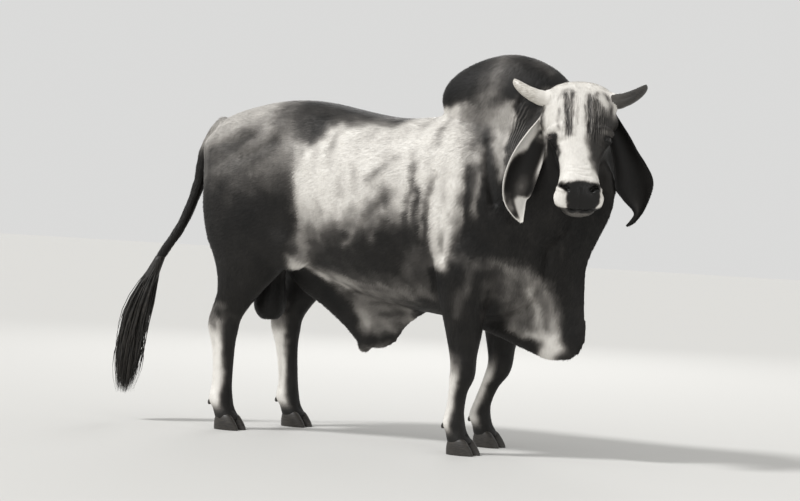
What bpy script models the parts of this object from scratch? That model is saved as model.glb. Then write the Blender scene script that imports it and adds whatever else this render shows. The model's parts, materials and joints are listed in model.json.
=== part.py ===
"""Brahman bull, standing with its head turned to its right: a still, life-size model.

Metres, +Z up, +X toward the animal's front, +Y its left. The flesh is built whole
from lofts and rounded masses, evened out, shaped with pressed and raised strokes,
then parted with thin cuts into head, neck, hump, dewlap, torso and legs.
"""
import math
import random

import bmesh
import bpy
import numpy as np
from mathutils import Matrix, Vector

GAP = 0.0003            # air left between two neighbouring nodes at a flat cut
ROUND_GAP = 0.0005      # the same round a curved piece
VOXEL = 0.012           # grid used when the masses are joined to one skin
RING = 28               # points round a loft

# The stance is drawn about the middle of the barrel and moved at the end, so
# that the middle of its box stands on the origin.
BOX_MIDDLE_X = -0.0764
BOX_MIDDLE_Y = 0.0

# Head placement: poll, direction the face looks in, lean of the face line.
POLL = np.array([0.985, -0.150, 1.628])
FACE_YAW = math.radians(-57.0)
FACE_LEAN = math.radians(25.0)
EYE_ALONG, EYE_OUT, EYE_DEEP = 0.235, 0.112, -0.052
EYE_RADIUS = 0.021

# Feet: where each stands (x, y), and how far forward of the foot its knee or hock is set.
FEET = {
    "foreleg_right": (0.480, -0.200, 0.022),
    "foreleg_left": (0.370, 0.205, 0.085),
    "hindleg_right": (-0.795, -0.205, 0.000),
    "hindleg_left": (-0.705, 0.205, -0.022),
}
CLAW_LENGTH, CLAW_WIDTH, CLAW_HEIGHT = 0.128, 0.056, 0.070
CLAW_SPREAD = 0.0305

HAIR_TONE = {
    "pale_grey_hide": (0.62, 0.60, 0.57),
    "dark_grey_hide": (0.12, 0.115, 0.11),
    "horn": (0.32, 0.29, 0.25),
    "hoof": (0.05, 0.047, 0.044),
    "eye": (0.012, 0.009, 0.007),
    "switch_hair": (0.02, 0.018, 0.017),
}


def clear_scene():
    for obj in list(bpy.data.objects):
        bpy.data.objects.remove(obj, do_unlink=True)


def collection(name):
    col = bpy.data.collections.new(name)
    bpy.context.scene.collection.children.link(col)
    return col


def direction(yaw, pitch):
    return np.array([math.cos(pitch) * math.cos(yaw),
                     math.cos(pitch) * math.sin(yaw), math.sin(pitch)])


FACE = direction(FACE_YAW, 0.0)
HEAD_LONG = math.sin(FACE_LEAN) * FACE - math.cos(FACE_LEAN) * np.array([0.0, 0.0, 1.0])
HEAD_OUT = math.cos(FACE_LEAN) * FACE + math.sin(FACE_LEAN) * np.array([0.0, 0.0, 1.0])
HEAD_LEFT = np.cross(HEAD_OUT, HEAD_LONG)


def head_point(along, left, out):
    """World position of a place on the head: from the poll down the face, to the left, outward."""
    return POLL + along * HEAD_LONG + left * HEAD_LEFT + out * HEAD_OUT


def head_coords(points):
    rel = points - POLL
    return rel @ HEAD_LONG, rel @ HEAD_LEFT, rel @ HEAD_OUT


def through(rows, steps):
    """Smooth rows of numbers: Catmull-Rom through every row, `steps` samples a span."""
    rows = np.array(rows, float)
    padded = np.vstack([2 * rows[0] - rows[1], rows, 2 * rows[-1] - rows[-2]])
    out = []
    for i in range(1, len(padded) - 2):
        a, b, c, d = padded[i - 1:i + 3]
        for k in range(steps):
            t = k / steps
            out.append(0.5 * (2 * b + (c - a) * t + (2 * a - 5 * b + 4 * c - d) * t * t
                              + (3 * b - a - 3 * c + d) * t ** 3))
    out.append(padded[-2])
    return np.array(out)


def ring(centre, side, up, w, rise, drop, n_up=2.0, n_down=2.0, count=RING):
    """Superellipse ring with its own upper and lower height and squareness."""
    ang = np.linspace(0, 2 * math.pi, count, endpoint=False)
    c, s = np.cos(ang), np.sin(ang)
    n = np.where(s >= 0, n_up, n_down)
    h = np.where(s >= 0, rise, drop)
    y = w * np.sign(c) * np.abs(c) ** (2 / n)
    z = h * np.sign(s) * np.abs(s) ** (2 / n)
    return centre + y[:, None] * side + z[:, None] * up


def closed_loft(rings):
    """Vertices and faces of a loft through equal rings, with a point at each end."""
    count = len(rings[0])
    verts = [p for r in rings for p in r]
    faces = []
    for j in range(len(rings) - 1):
        for i in range(count):
            k = (i + 1) % count
            faces.append((j * count + i, j * count + k,
                          (j + 1) * count + k, (j + 1) * count + i))
    first, last = len(verts), len(verts) + 1
    verts += [np.mean(rings[0], axis=0), np.mean(rings[-1], axis=0)]
    base = (len(rings) - 1) * count
    for i in range(count):
        k = (i + 1) % count
        faces.append((first, k, i))
        faces.append((last, base + i, base + k))
    return np.array(verts), faces


def tube(rows, steps=3, count=RING):
    """Loft along rows: x, y, z, yaw deg, pitch deg, half width, rise, drop."""
    rings = []
    for row in through(rows, steps):
        axis = direction(math.radians(row[3]), math.radians(row[4]))
        side = np.array([-math.sin(math.radians(row[3])), math.cos(math.radians(row[3])), 0.0])
        up = np.cross(axis, side)
        n_up, n_down = (row[8], row[9]) if len(row) > 9 else (2.0, 2.0)
        sizes = np.maximum(row[5:8], 0.004)
        rings.append(ring(row[:3], side, up, *sizes, n_up, n_down, count))
    return closed_loft(rings)


def egg(centre, radii, axis=(1, 0, 0), up=(0, 0, 1), rings=11, count=20):
    """Ellipsoid with its first radius along `axis`, from a sphere primitive."""
    axis = np.array(axis, float) / np.linalg.norm(axis)
    side = np.cross(np.array(up, float), axis)
    side /= np.linalg.norm(side)
    top = np.cross(axis, side)
    bm = bmesh.new()
    bmesh.ops.create_uvsphere(bm, u_segments=count, v_segments=rings, radius=1.0)
    ball = np.array([v.co for v in bm.verts])
    faces = [tuple(v.index for v in f.verts) for f in bm.faces]
    bm.free()
    wide = radii[0] * ball[:, 2:3] * axis + radii[1] * ball[:, 0:1] * side + radii[2] * ball[:, 1:2] * top
    return np.array(centre, float) + wide, faces


def slab(rows, steps=3, count=RING):
    """Upright fold of skin from level cuts: z, rear x, front x, middle y, half thickness."""
    rings = []
    for z, rear, front, mid, thick in through(rows, steps):
        ang = np.linspace(0, 2 * math.pi, count, endpoint=False)
        half = (front - rear) / 2
        x = (front + rear) / 2 + half * np.cos(ang)
        y = mid + thick * np.sin(ang) * (0.75 - 0.25 * np.cos(ang))
        rings.append(np.stack([x, y, np.full(count, z)], axis=1))
    return closed_loft(rings)


def mirrored(piece):
    verts, faces = piece
    return verts * np.array([1.0, -1.0, 1.0]), [tuple(reversed(f)) for f in faces]


def mesh_from(name, pieces):
    """One mesh holding every (verts, faces) piece, all facing outward."""
    bm = bmesh.new()
    for verts, faces in pieces:
        made = [bm.verts.new(v) for v in verts]
        for face in faces:
            bm.faces.new([made[i] for i in face])
    bmesh.ops.recalc_face_normals(bm, faces=bm.faces)
    mesh = bpy.data.meshes.new(name)
    bm.to_mesh(mesh)
    bm.free()
    return mesh


def temp_object(name, mesh):
    obj = bpy.data.objects.new(name, mesh)
    bpy.context.scene.collection.objects.link(obj)
    return obj


def applied(obj):
    """Give the object its evaluated mesh and drop its modifiers."""
    bpy.context.view_layer.update()
    graph = bpy.context.evaluated_depsgraph_get()
    mesh = bpy.data.meshes.new_from_object(obj.evaluated_get(graph))
    obj.modifiers.clear()
    obj.data = mesh
    return obj


def voxelled(obj, size):
    mod = obj.modifiers.new("join masses", "REMESH")
    mod.mode = "VOXEL"
    mod.voxel_size = size
    return applied(obj)


def thinned(obj, triangles):
    obj.data.calc_loop_triangles()
    have = len(obj.data.loop_triangles)
    mod = obj.modifiers.new("fewer triangles", "DECIMATE")
    mod.ratio = min(1.0, triangles / max(have, 1))
    mod.use_collapse_triangulate = True
    return applied(obj)


def points_of(mesh):
    out = np.empty(len(mesh.vertices) * 3)
    mesh.vertices.foreach_get("co", out)
    return out.reshape(-1, 3)


def edges_of(mesh):
    out = np.empty(len(mesh.edges) * 2, dtype=np.int64)
    mesh.edges.foreach_get("vertices", out)
    return out.reshape(-1, 2)


def normals_of(mesh, points):
    mesh.vertices.foreach_set("co", points.ravel())
    mesh.update()
    out = np.empty(len(mesh.vertices) * 3)
    mesh.vertex_normals.foreach_get("vector", out)
    return out.reshape(-1, 3)


def neighbour_mean(points, edges, degree):
    total = np.zeros_like(points)
    for k in range(3):
        total[:, k] = (np.bincount(edges[:, 0], points[edges[:, 1], k], len(points))
                       + np.bincount(edges[:, 1], points[edges[:, 0], k], len(points)))
    return total / degree[:, None]


def evened(points, edges, rounds, amount, back=0.55):
    """Laplacian smoothing, `amount` per vertex (0..1), with a push back against shrinking."""
    degree = np.bincount(edges.ravel(), minlength=len(points)).astype(float)
    amount = np.broadcast_to(np.asarray(amount, float), (len(points),))[:, None]
    for _ in range(rounds):
        points = points + 0.6 * amount * (neighbour_mean(points, edges, degree) - points)
        points = points - back * amount * (neighbour_mean(points, edges, degree) - points)
    return points


def away_from_line(points, line):
    """Distance of every point from a polyline."""
    line = np.array(line, float)
    best = np.full(len(points), 1e9)
    for a, b in zip(line[:-1], line[1:]):
        ab = b - a
        t = np.clip(((points - a) @ ab) / max(ab @ ab, 1e-12), 0, 1)
        best = np.minimum(best, np.linalg.norm(points - a - t[:, None] * ab, axis=1))
    return best


def stroke(line, width, height):
    """A raised (+) or pressed (-) band along a line, as a function of the points."""
    line = through(line, 4) if len(line) > 2 else np.array(line, float)

    def heights(points):
        low = line.min(axis=0) - 3 * width
        high = line.max(axis=0) + 3 * width
        near = np.all((points > low) & (points < high), axis=1)
        out = np.zeros(len(points))
        if near.any():
            out[near] = height * np.exp(-(away_from_line(points[near], line) / width) ** 2)
        return out
    return heights


def trunk_masses():
    """Barrel, loin, rump and chest as one loft, with the bones that show."""
    rows = [
        (-1.075, 0.060, 1.30, 1.17, 1.23), (-1.040, 0.135, 1.39, 1.03, 1.21),
        (-0.960, 0.220, 1.470, 0.90, 1.18), (-0.820, 0.270, 1.515, 0.80, 1.16),
        (-0.620, 0.295, 1.550, 0.765, 1.14), (-0.420, 0.310, 1.545, 0.745, 1.10),
        (-0.200, 0.342, 1.505, 0.680, 1.04), (0.000, 0.360, 1.478, 0.630, 1.00),
        (0.200, 0.348, 1.488, 0.600, 0.98), (0.400, 0.312, 1.500, 0.585, 0.98),
        (0.580, 0.265, 1.490, 0.600, 1.00), (0.720, 0.195, 1.420, 0.660, 1.02),
        (0.800, 0.100, 1.280, 0.800, 1.04),
    ]
    full = [(x, 0, wide, 0, 0, w, top - wide, wide - low, 2.15, 2.1)
            for x, w, top, low, wide in rows]
    pieces = [tube(full)]
    pieces.append(egg((-0.990, 0, 1.420), (0.110, 0.060, 0.050)))
    return pieces


def body_strokes():
    """Bones and muscles that show through the hide."""
    strokes = []
    for s in (-1, 1):
        strokes += [
            stroke([(0.340, s * 0.235, 1.400), (0.470, s * 0.285, 1.220), (0.610, s * 0.270, 1.040)], 0.095, 0.022),
            stroke([(0.700, s * 0.180, 1.010)] * 2, 0.075, 0.026),
            stroke([(0.390, s * 0.320, 0.960), (0.420, s * 0.310, 0.840)], 0.100, 0.018),
            stroke([(0.210, s * 0.340, 1.300), (0.200, s * 0.360, 1.080), (0.240, s * 0.330, 0.800)], 0.055, -0.014),
            stroke([(-0.520, s * 0.250, 1.450)] * 2, 0.055, 0.030),
            stroke([(-1.000, s * 0.120, 1.320)] * 2, 0.055, 0.022),
            stroke([(-0.320, s * 0.270, 1.400)] * 2, 0.090, -0.024),
            stroke([(-0.780, s * 0.255, 1.360)] * 2, 0.085, -0.014),
            stroke([(-0.350, s * 0.330, 1.020), (-0.330, s * 0.310, 0.880)], 0.080, -0.022),
            stroke([(-0.440, s * 0.300, 0.880)] * 2, 0.080, 0.016),
            stroke([(-0.940, s * 0.230, 1.150), (-0.880, s * 0.270, 0.900)], 0.060, 0.008),
        ]
    return strokes


def hump_mass():
    """The tall hump over the withers, leaning back over the chine."""
    rows = [
        (0.222, 0.0, 1.560, 0, 0, 0.020, 0.020, 0.020, 2, 2),
        (0.236, 0.0, 1.560, 0, 0, 0.085, 0.070, 0.050, 2, 2),
        (0.280, 0.0, 1.540, 0, 0, 0.122, 0.140, 0.075, 2.1, 2),
        (0.365, 0.0, 1.505, 0, 0, 0.145, 0.224, 0.130, 2.2, 2),
        (0.480, 0.0, 1.490, 0, 0, 0.150, 0.275, 0.160, 2.2, 2),
        (0.580, 0.0, 1.480, 0, 0, 0.148, 0.293, 0.180, 2.2, 2),
        (0.700, 0.000, 1.460, 0, 0, 0.138, 0.284, 0.180, 2.2, 2),
        (0.800, 0.000, 1.450, 0, 0, 0.116, 0.240, 0.180, 2.1, 2),
        (0.870, 0.000, 1.450, 0, 0, 0.080, 0.165, 0.150, 2, 2),
        (0.905, 0.000, 1.450, 0, 0, 0.025, 0.060, 0.060, 2, 2),
    ]
    return [tube(rows)]


def neck_mass():
    rows = [
        (0.420, 0.000, 1.120, 0, 10, 0.245, 0.330, 0.380),
        (0.580, 0.000, 1.180, -3, 25, 0.215, 0.310, 0.360),
        (0.720, -0.008, 1.260, -10, 33, 0.192, 0.275, 0.325),
        (0.840, -0.028, 1.360, -25, 35, 0.168, 0.225, 0.265),
        (0.920, -0.070, 1.425, -42, 28, 0.152, 0.180, 0.220),
        (0.975, -0.125, 1.440, -55, 10, 0.128, 0.130, 0.170),
    ]
    behind_jaw = egg((0.975, 0.030, 1.290), (0.100, 0.092, 0.155), (0.5, -0.8, 0.1))
    return [tube(rows), behind_jaw]


def dewlap_mass():
    """The hanging fold of skin from the throat to between the forelegs."""
    rows = [
        (1.330, 0.840, 1.060, -0.050, 0.066), (1.220, 0.780, 1.110, -0.026, 0.074),
        (1.100, 0.720, 1.095, -0.015, 0.066), (1.000, 0.680, 1.050, -0.006, 0.058),
        (0.880, 0.640, 0.985, 0.000, 0.052), (0.760, 0.560, 0.970, 0.004, 0.050),
        (0.640, 0.420, 0.975, 0.002, 0.052), (0.560, 0.420, 0.984, -0.002, 0.054),
        (0.510, 0.560, 0.975, -0.002, 0.046), (0.462, 0.700, 0.945, 0.000, 0.034),
        (0.430, 0.790, 0.890, 0.000, 0.014),
    ]
    return [slab(rows)]


def sheath_mass():
    rows = [
        (0.790, -0.640, 0.330, 0.0, 0.120), (0.720, -0.600, 0.330, 0.0, 0.100),
        (0.660, -0.530, 0.300, 0.0, 0.080), (0.620, -0.450, 0.200, 0.0, 0.068),
        (0.570, -0.370, 0.110, 0.0, 0.052), (0.520, -0.300, 0.048, 0.0, 0.044),
        (0.475, -0.245, 0.015, 0.0, 0.040), (0.445, -0.215, -0.010, 0.0, 0.034),
        (0.425, -0.190, -0.060, 0.0, 0.022),
    ]
    return [slab(rows), egg((-0.165, 0, 0.440), (0.050, 0.036, 0.034), (-0.4, 0, -1))]


def scrotum_mass():
    rows = [
        (-0.700, 0, 0.860, 0, -90, 0.075, 0.080, 0.080),
        (-0.705, 0, 0.760, 0, -90, 0.058, 0.060, 0.060),
        (-0.715, 0, 0.680, 0, -90, 0.070, 0.068, 0.068),
        (-0.718, 0, 0.610, 0, -90, 0.084, 0.074, 0.074),
        (-0.718, 0, 0.555, 0, -90, 0.076, 0.068, 0.068),
        (-0.718, 0, 0.515, 0, -90, 0.042, 0.040, 0.040),
    ]
    return [tube(rows)]


def set_forward(z, amount):
    """Share of the leg's lean at a height: none at the pastern, all above the knee."""
    t = min(max((z - 0.15) / 0.27, 0.0), 1.0)
    return amount * t * t * (3 - 2 * t)


def foreleg_mass(name):
    """Shoulder end, forearm, knee, cannon, fetlock and pastern, from the foot's place."""
    fx, fy, ahead = FEET[name]
    side = math.copysign(1.0, fy)
    rows = []
    for z, dx, dy, w, front, rear in (
            (0.980, 0.040, -0.010, 0.090, 0.150, 0.130), (0.820, 0.025, 0.010, 0.104, 0.140, 0.140),
            (0.720, 0.005, 0.012, 0.098, 0.122, 0.130), (0.620, 0.000, 0.006, 0.082, 0.100, 0.104),
            (0.520, 0.000, 0.002, 0.068, 0.084, 0.080), (0.440, 0.000, 0.000, 0.058, 0.066, 0.062),
            (0.385, 0.002, 0.000, 0.057, 0.062, 0.054), (0.330, 0.002, 0.000, 0.054, 0.060, 0.052),
            (0.278, -0.002, 0.000, 0.041, 0.042, 0.046), (0.195, -0.004, 0.000, 0.039, 0.039, 0.046),
            (0.138, -0.006, 0.000, 0.049, 0.047, 0.056), (0.095, 0.008, 0.000, 0.048, 0.046, 0.050),
            (0.064, 0.022, 0.000, 0.057, 0.057, 0.057), (0.040, 0.028, 0.000, 0.054, 0.052, 0.052)):
        x = fx - 0.02 + dx + set_forward(z, ahead)
        rows.append((x, fy + side * dy, z, 0, -90, w, front, rear))
    return [tube(rows, steps=2, count=20)]


def hindleg_mass(name):
    fx, fy, ahead = FEET[name]
    side = math.copysign(1.0, fy)
    rows = []
    for z, dx, dy, w, front, rear in (
            (1.220, 0.070, -0.030, 0.120, 0.230, 0.230), (1.080, 0.075, -0.010, 0.130, 0.280, 0.240),
            (0.960, 0.085, 0.000, 0.128, 0.290, 0.225), (0.860, 0.100, 0.008, 0.116, 0.275, 0.205),
            (0.760, 0.100, 0.008, 0.100, 0.205, 0.165), (0.670, 0.060, 0.002, 0.082, 0.140, 0.115),
            (0.590, 0.010, -0.004, 0.067, 0.108, 0.088), (0.515, -0.025, -0.004, 0.059, 0.086, 0.082),
            (0.465, -0.028, -0.002, 0.058, 0.078, 0.080), (0.410, -0.025, 0.000, 0.051, 0.064, 0.062),
            (0.330, -0.020, 0.000, 0.044, 0.053, 0.053), (0.210, -0.020, 0.000, 0.042, 0.049, 0.053),
            (0.145, -0.022, 0.000, 0.052, 0.055, 0.062), (0.095, -0.004, 0.000, 0.050, 0.050, 0.054),
            (0.064, 0.012, 0.000, 0.057, 0.058, 0.057), (0.040, 0.018, 0.000, 0.054, 0.052, 0.052)):
        x = fx - 0.01 + dx + set_forward(z, ahead)
        rows.append((x, fy + side * dy, z, 0, -90, w, front, rear))
    fold = egg((fx + 0.345, fy + side * 0.035, 0.870), (0.150, 0.050, 0.120), (1, 0, -0.25))
    return [tube(rows, steps=2, count=24), fold]


def head_masses():
    """Skull, face, jaw and muzzle as lofts down the face line, with cheeks and brows."""
    def along_head(rows, steps=3):
        rings = []
        for h, w, top, low, n_up, n_down in through(rows, steps):
            mid = (top + low) / 2
            rings.append(ring(head_point(h, 0, mid), HEAD_LEFT, HEAD_OUT, max(w, 0.004),
                              top - mid, mid - low, n_up, n_down))
        return closed_loft(rings)

    skull = along_head([
        (-0.048, 0.050, -0.065, -0.120, 2, 2), (-0.030, 0.105, -0.026, -0.160, 2.2, 2),
        (0.000, 0.140, -0.006, -0.190, 2.3, 2), (0.060, 0.153, 0.004, -0.215, 2.4, 2),
        (0.130, 0.148, 0.008, -0.225, 2.3, 2), (0.200, 0.130, 0.006, -0.220, 2.2, 2),
        (0.270, 0.108, 0.000, -0.200, 2.2, 2), (0.350, 0.088, -0.006, -0.170, 2.3, 2),
        (0.420, 0.086, -0.010, -0.150, 2.4, 2.2), (0.470, 0.100, -0.018, -0.142, 2.4, 2.3),
        (0.510, 0.108, -0.038, -0.138, 2.3, 2.4), (0.540, 0.098, -0.064, -0.136, 2.2, 2.4),
        (0.562, 0.058, -0.092, -0.130, 2.1, 2.2),
    ])
    jaw = along_head([
        (0.050, 0.050, -0.130, -0.200, 2, 2), (0.090, 0.088, -0.120, -0.262, 2, 2.2),
        (0.170, 0.092, -0.110, -0.280, 2, 2.2), (0.260, 0.080, -0.110, -0.262, 2, 2.2),
        (0.350, 0.064, -0.100, -0.225, 2, 2.2), (0.440, 0.060, -0.100, -0.190, 2, 2.2),
        (0.505, 0.064, -0.100, -0.180, 2, 2.2), (0.540, 0.054, -0.105, -0.172, 2, 2.2),
        (0.556, 0.026, -0.115, -0.156, 2, 2),
    ])
    pieces = [skull, jaw]
    for side in (-1, 1):
        pieces += [
            egg(head_point(0.222, side * 0.104, -0.052), (0.050, 0.038, 0.038), HEAD_LONG, HEAD_OUT),
            egg(head_point(0.190, side * 0.078, -0.165), (0.115, 0.042, 0.090), HEAD_LONG, HEAD_OUT),
            egg(head_point(0.042, side * 0.138, -0.060), (0.044, 0.040, 0.038), HEAD_LONG, HEAD_OUT),
            egg(head_point(0.120, side * 0.135, -0.105), (0.045, 0.040, 0.040), HEAD_LONG, HEAD_OUT),
        ]
    return pieces


def head_strokes():
    """What is pressed into and raised on the head once the masses are joined."""
    p = head_point
    strokes = []
    for s in (-1, 1):
        around = []
        for k in range(13):
            a = 2 * math.pi * k / 12
            around.append(p(EYE_ALONG + 0.017 * math.sin(a), s * (EYE_OUT + 0.006 + 0.010 * math.cos(a)),
                            EYE_DEEP + 0.012 - 0.020 * math.cos(a)))
        strokes += [
            stroke([p(EYE_ALONG, s * (EYE_OUT + 0.012), EYE_DEEP + 0.012)] * 2, 0.020, -0.014),
            stroke(around, 0.007, 0.006),
            stroke([p(0.195, s * 0.070, 0.0), p(0.188, s * 0.108, -0.022), p(0.205, s * 0.128, -0.055)],
                   0.013, 0.008),
            stroke([p(0.255, s * 0.075, -0.012), p(0.262, s * 0.105, -0.050)], 0.012, -0.006),
            stroke([p(0.270, s * 0.100, -0.090), p(0.390, s * 0.082, -0.085)], 0.016, -0.006),
            stroke([p(0.478, s * 0.052, -0.024), p(0.486, s * 0.074, -0.036), p(0.502, s * 0.082, -0.052)],
                   0.010, -0.018),
            stroke([p(0.455, s * 0.050, -0.016), p(0.458, s * 0.080, -0.034), p(0.480, s * 0.098, -0.060)],
                   0.011, 0.006),
            stroke([p(0.415, s * 0.076, -0.128), p(0.470, s * 0.090, -0.130), p(0.515, s * 0.090, -0.132),
                    p(0.545, s * 0.060, -0.132), p(0.556, 0.0, -0.130)], 0.007, -0.011),
            stroke([p(0.440, s * 0.070, -0.152), p(0.500, s * 0.072, -0.154), p(0.540, s * 0.044, -0.152)],
                   0.010, 0.004),
        ]
    strokes.append(stroke([p(0.500, 0.0, -0.035), p(0.560, 0.0, -0.100)], 0.006, -0.003))
    return strokes


def finer_where(mesh, chosen, cuts=1):
    """Split the faces whose middle is chosen; neighbours stay joined."""
    bm = bmesh.new()
    bm.from_mesh(mesh)
    centres = np.array([f.calc_center_median() for f in bm.faces])
    keep = chosen(centres)
    bm.faces.ensure_lookup_table()
    edges = {e for i in np.nonzero(keep)[0] for e in bm.faces[int(i)].edges}
    bmesh.ops.subdivide_edges(bm, edges=list(edges), cuts=cuts, use_grid_fill=True, smooth=0.0)
    bm.to_mesh(mesh)
    bm.free()


def on_head(points):
    h, s, t = head_coords(points)
    return (h > -0.10) & (np.abs(s) < 0.22) & (t > -0.30) & (t < 0.10) & (points[:, 2] > 1.0)


def softness(points):
    """How strongly the joined masses run into each other: most on the trunk, least on thin folds."""
    soft = np.clip((points[:, 2] - 0.62) / 0.22, 0.06, 1.0)
    thin_fold = (points[:, 0] > 0.60) & (np.abs(points[:, 1]) < 0.10) & (points[:, 2] < 1.25)
    soft = np.where(thin_fold, 0.25 * soft, soft)
    return np.where(on_head(points), 0.10, soft)


def whole_flesh():
    """All flesh as one closed surface, evened out, with the head finer and shaped."""
    pieces = (trunk_masses() + hump_mass() + neck_mass() + dewlap_mass() + sheath_mass()
              + scrotum_mass() + head_masses())
    for name in ("foreleg_right", "foreleg_left"):
        pieces += foreleg_mass(name)
    for name in ("hindleg_right", "hindleg_left"):
        pieces += hindleg_mass(name)
    obj = temp_object("flesh", mesh_from("flesh", pieces))
    voxelled(obj, VOXEL)
    mesh = obj.data
    points = points_of(mesh)
    edges = edges_of(mesh)
    points = evened(points, edges, 30, softness(points), back=0.0)
    points = evened(points, edges, 10, np.where(on_head(points), 0.6, 0.8))
    for heights in body_strokes():
        points = points + normals_of(mesh, points) * heights(points)[:, None]
    mesh.vertices.foreach_set("co", points.ravel())
    finer_where(mesh, on_head, 1)
    points = points_of(mesh)
    points = evened(points, edges_of(mesh), 16, np.where(on_head(points), 0.9, 0.0), back=0.50)
    for heights in head_strokes():
        points = points + normals_of(mesh, points) * heights(points)[:, None]
    mesh.vertices.foreach_set("co", points.ravel())
    mesh.update()
    return obj


def prism(name, outline, low, high, across="y"):
    """Solid with an outline in the x-z plane (or the y-z plane), reaching from low to high across it."""
    bm = bmesh.new()
    if across == "y":
        verts = [bm.verts.new((a, low, b)) for a, b in outline]
        step = (0, high - low, 0)
    else:
        verts = [bm.verts.new((low, a, b)) for a, b in outline]
        step = (high - low, 0, 0)
    face = bm.faces.new(verts)
    grown = bmesh.ops.extrude_face_region(bm, geom=[face])
    moved = [g for g in grown["geom"] if isinstance(g, bmesh.types.BMVert)]
    bmesh.ops.translate(bm, verts=moved, vec=step)
    bmesh.ops.recalc_face_normals(bm, faces=bm.faces)
    mesh = bpy.data.meshes.new(name)
    bm.to_mesh(mesh)
    bm.free()
    return temp_object(name, mesh)


def swollen(obj, amount, name):
    """A copy of the object pushed outward by `amount` along its vertex normals."""
    mesh = obj.data.copy()
    points = points_of(mesh)
    points = points + normals_of(mesh, points) * amount
    mesh.vertices.foreach_set("co", points.ravel())
    mesh.update()
    return temp_object(name, mesh)


def outset(outline, amount):
    """The outline moved outward by `amount` (corners mitred)."""
    pts = np.array(outline, float)
    area = np.sum(pts[:, 0] * np.roll(pts[:, 1], -1) - np.roll(pts[:, 0], -1) * pts[:, 1])
    turn = 1.0 if area > 0 else -1.0
    out = []
    for i in range(len(pts)):
        a, b, c = pts[i - 1], pts[i], pts[(i + 1) % len(pts)]
        n1 = turn * np.array([b[1] - a[1], a[0] - b[0]]) / np.linalg.norm(b - a)
        n2 = turn * np.array([c[1] - b[1], b[0] - c[0]]) / np.linalg.norm(c - b)
        m = (n1 + n2) / max(1 + n1 @ n2, 0.2)
        out.append(b + amount * m)
    return [tuple(p) for p in out]


def box_region(name, centre, half, turn, extra=0.0):
    """Turned box; `turn` is a 3x3 matrix whose columns are its axes."""
    bm = bmesh.new()
    bmesh.ops.create_cube(bm, size=2.0)
    place = Matrix([list(row) for row in turn]).to_4x4()
    scale = Matrix.Diagonal([half[0] + extra, half[1] + extra, half[2] + extra, 1.0])
    bmesh.ops.transform(bm, matrix=Matrix.Translation(Vector(centre)) @ place @ scale, verts=bm.verts)
    bmesh.ops.recalc_face_normals(bm, faces=bm.faces)
    mesh = bpy.data.meshes.new(name)
    bm.to_mesh(mesh)
    bm.free()
    return temp_object(name, mesh)


def combined(obj, other, operation, solver="EXACT"):
    mod = obj.modifiers.new(operation.lower(), "BOOLEAN")
    mod.object = other
    mod.operation = operation
    mod.solver = solver
    return applied(obj)


def largest_only(obj):
    """Keep the closed surface with the most volume."""
    bm = bmesh.new()
    bm.from_mesh(obj.data)
    bmesh.ops.dissolve_degenerate(bm, dist=1e-6, edges=bm.edges)
    unseen = set(bm.verts)
    groups = []
    while unseen:
        stack = [unseen.pop()]
        group = set(stack)
        while stack:
            vert = stack.pop()
            for edge in vert.link_edges:
                nxt = edge.other_vert(vert)
                if nxt in unseen:
                    unseen.remove(nxt)
                    group.add(nxt)
                    stack.append(nxt)
        groups.append(group)

    def reach(group):
        co = np.array([v.co for v in group])
        return float(np.prod(np.ptp(co, axis=0) + 1e-6))
    groups.sort(key=reach)
    for group in groups[:-1]:
        bmesh.ops.delete(bm, geom=list(group), context="VERTS")
    bmesh.ops.triangulate(bm, faces=bm.faces)
    bm.to_mesh(obj.data)
    bm.free()
    return obj


def drop(*objects):
    for obj in objects:
        bpy.data.objects.remove(obj, do_unlink=True)


def parted(flesh, name, inner, outer):
    """Take the region out of the flesh: the node inside it, the flesh outside it, a gap between."""
    node = temp_object(name, flesh.data.copy())
    combined(node, inner, "INTERSECT")
    combined(flesh, outer, "DIFFERENCE")
    drop(inner, outer)
    largest_only(node)
    return node


def prism_pair(outline, low, high, across="y"):
    inner = prism("cut inner", outline, low, high, across)
    outer = prism("cut outer", outset(outline, GAP), low - GAP, high + GAP, across)
    return inner, outer


# Ears: how far out from the middle of the face, how far forward, height, half width.
EAR_RIGHT = [
    (0.118, -0.010, 1.500, 0.030), (0.150, 0.000, 1.452, 0.036), (0.189, 0.012, 1.383, 0.050),
    (0.219, 0.022, 1.314, 0.067), (0.245, 0.034, 1.245, 0.073), (0.262, 0.044, 1.176, 0.070),
    (0.268, 0.050, 1.125, 0.055), (0.252, 0.060, 1.073, 0.034), (0.230, 0.070, 1.030, 0.007),
]
EAR_LEFT = [
    (0.118, -0.010, 1.506, 0.030), (0.144, 0.000, 1.469, 0.036), (0.185, 0.010, 1.391, 0.046),
    (0.211, 0.020, 1.331, 0.056), (0.236, 0.030, 1.271, 0.072), (0.254, 0.040, 1.211, 0.084),
    (0.264, 0.044, 1.159, 0.062), (0.270, 0.046, 1.112, 0.032), (0.264, 0.050, 1.080, 0.014),
    (0.243, 0.062, 1.052, 0.010), (0.219, 0.076, 1.034, 0.004),
]


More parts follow.
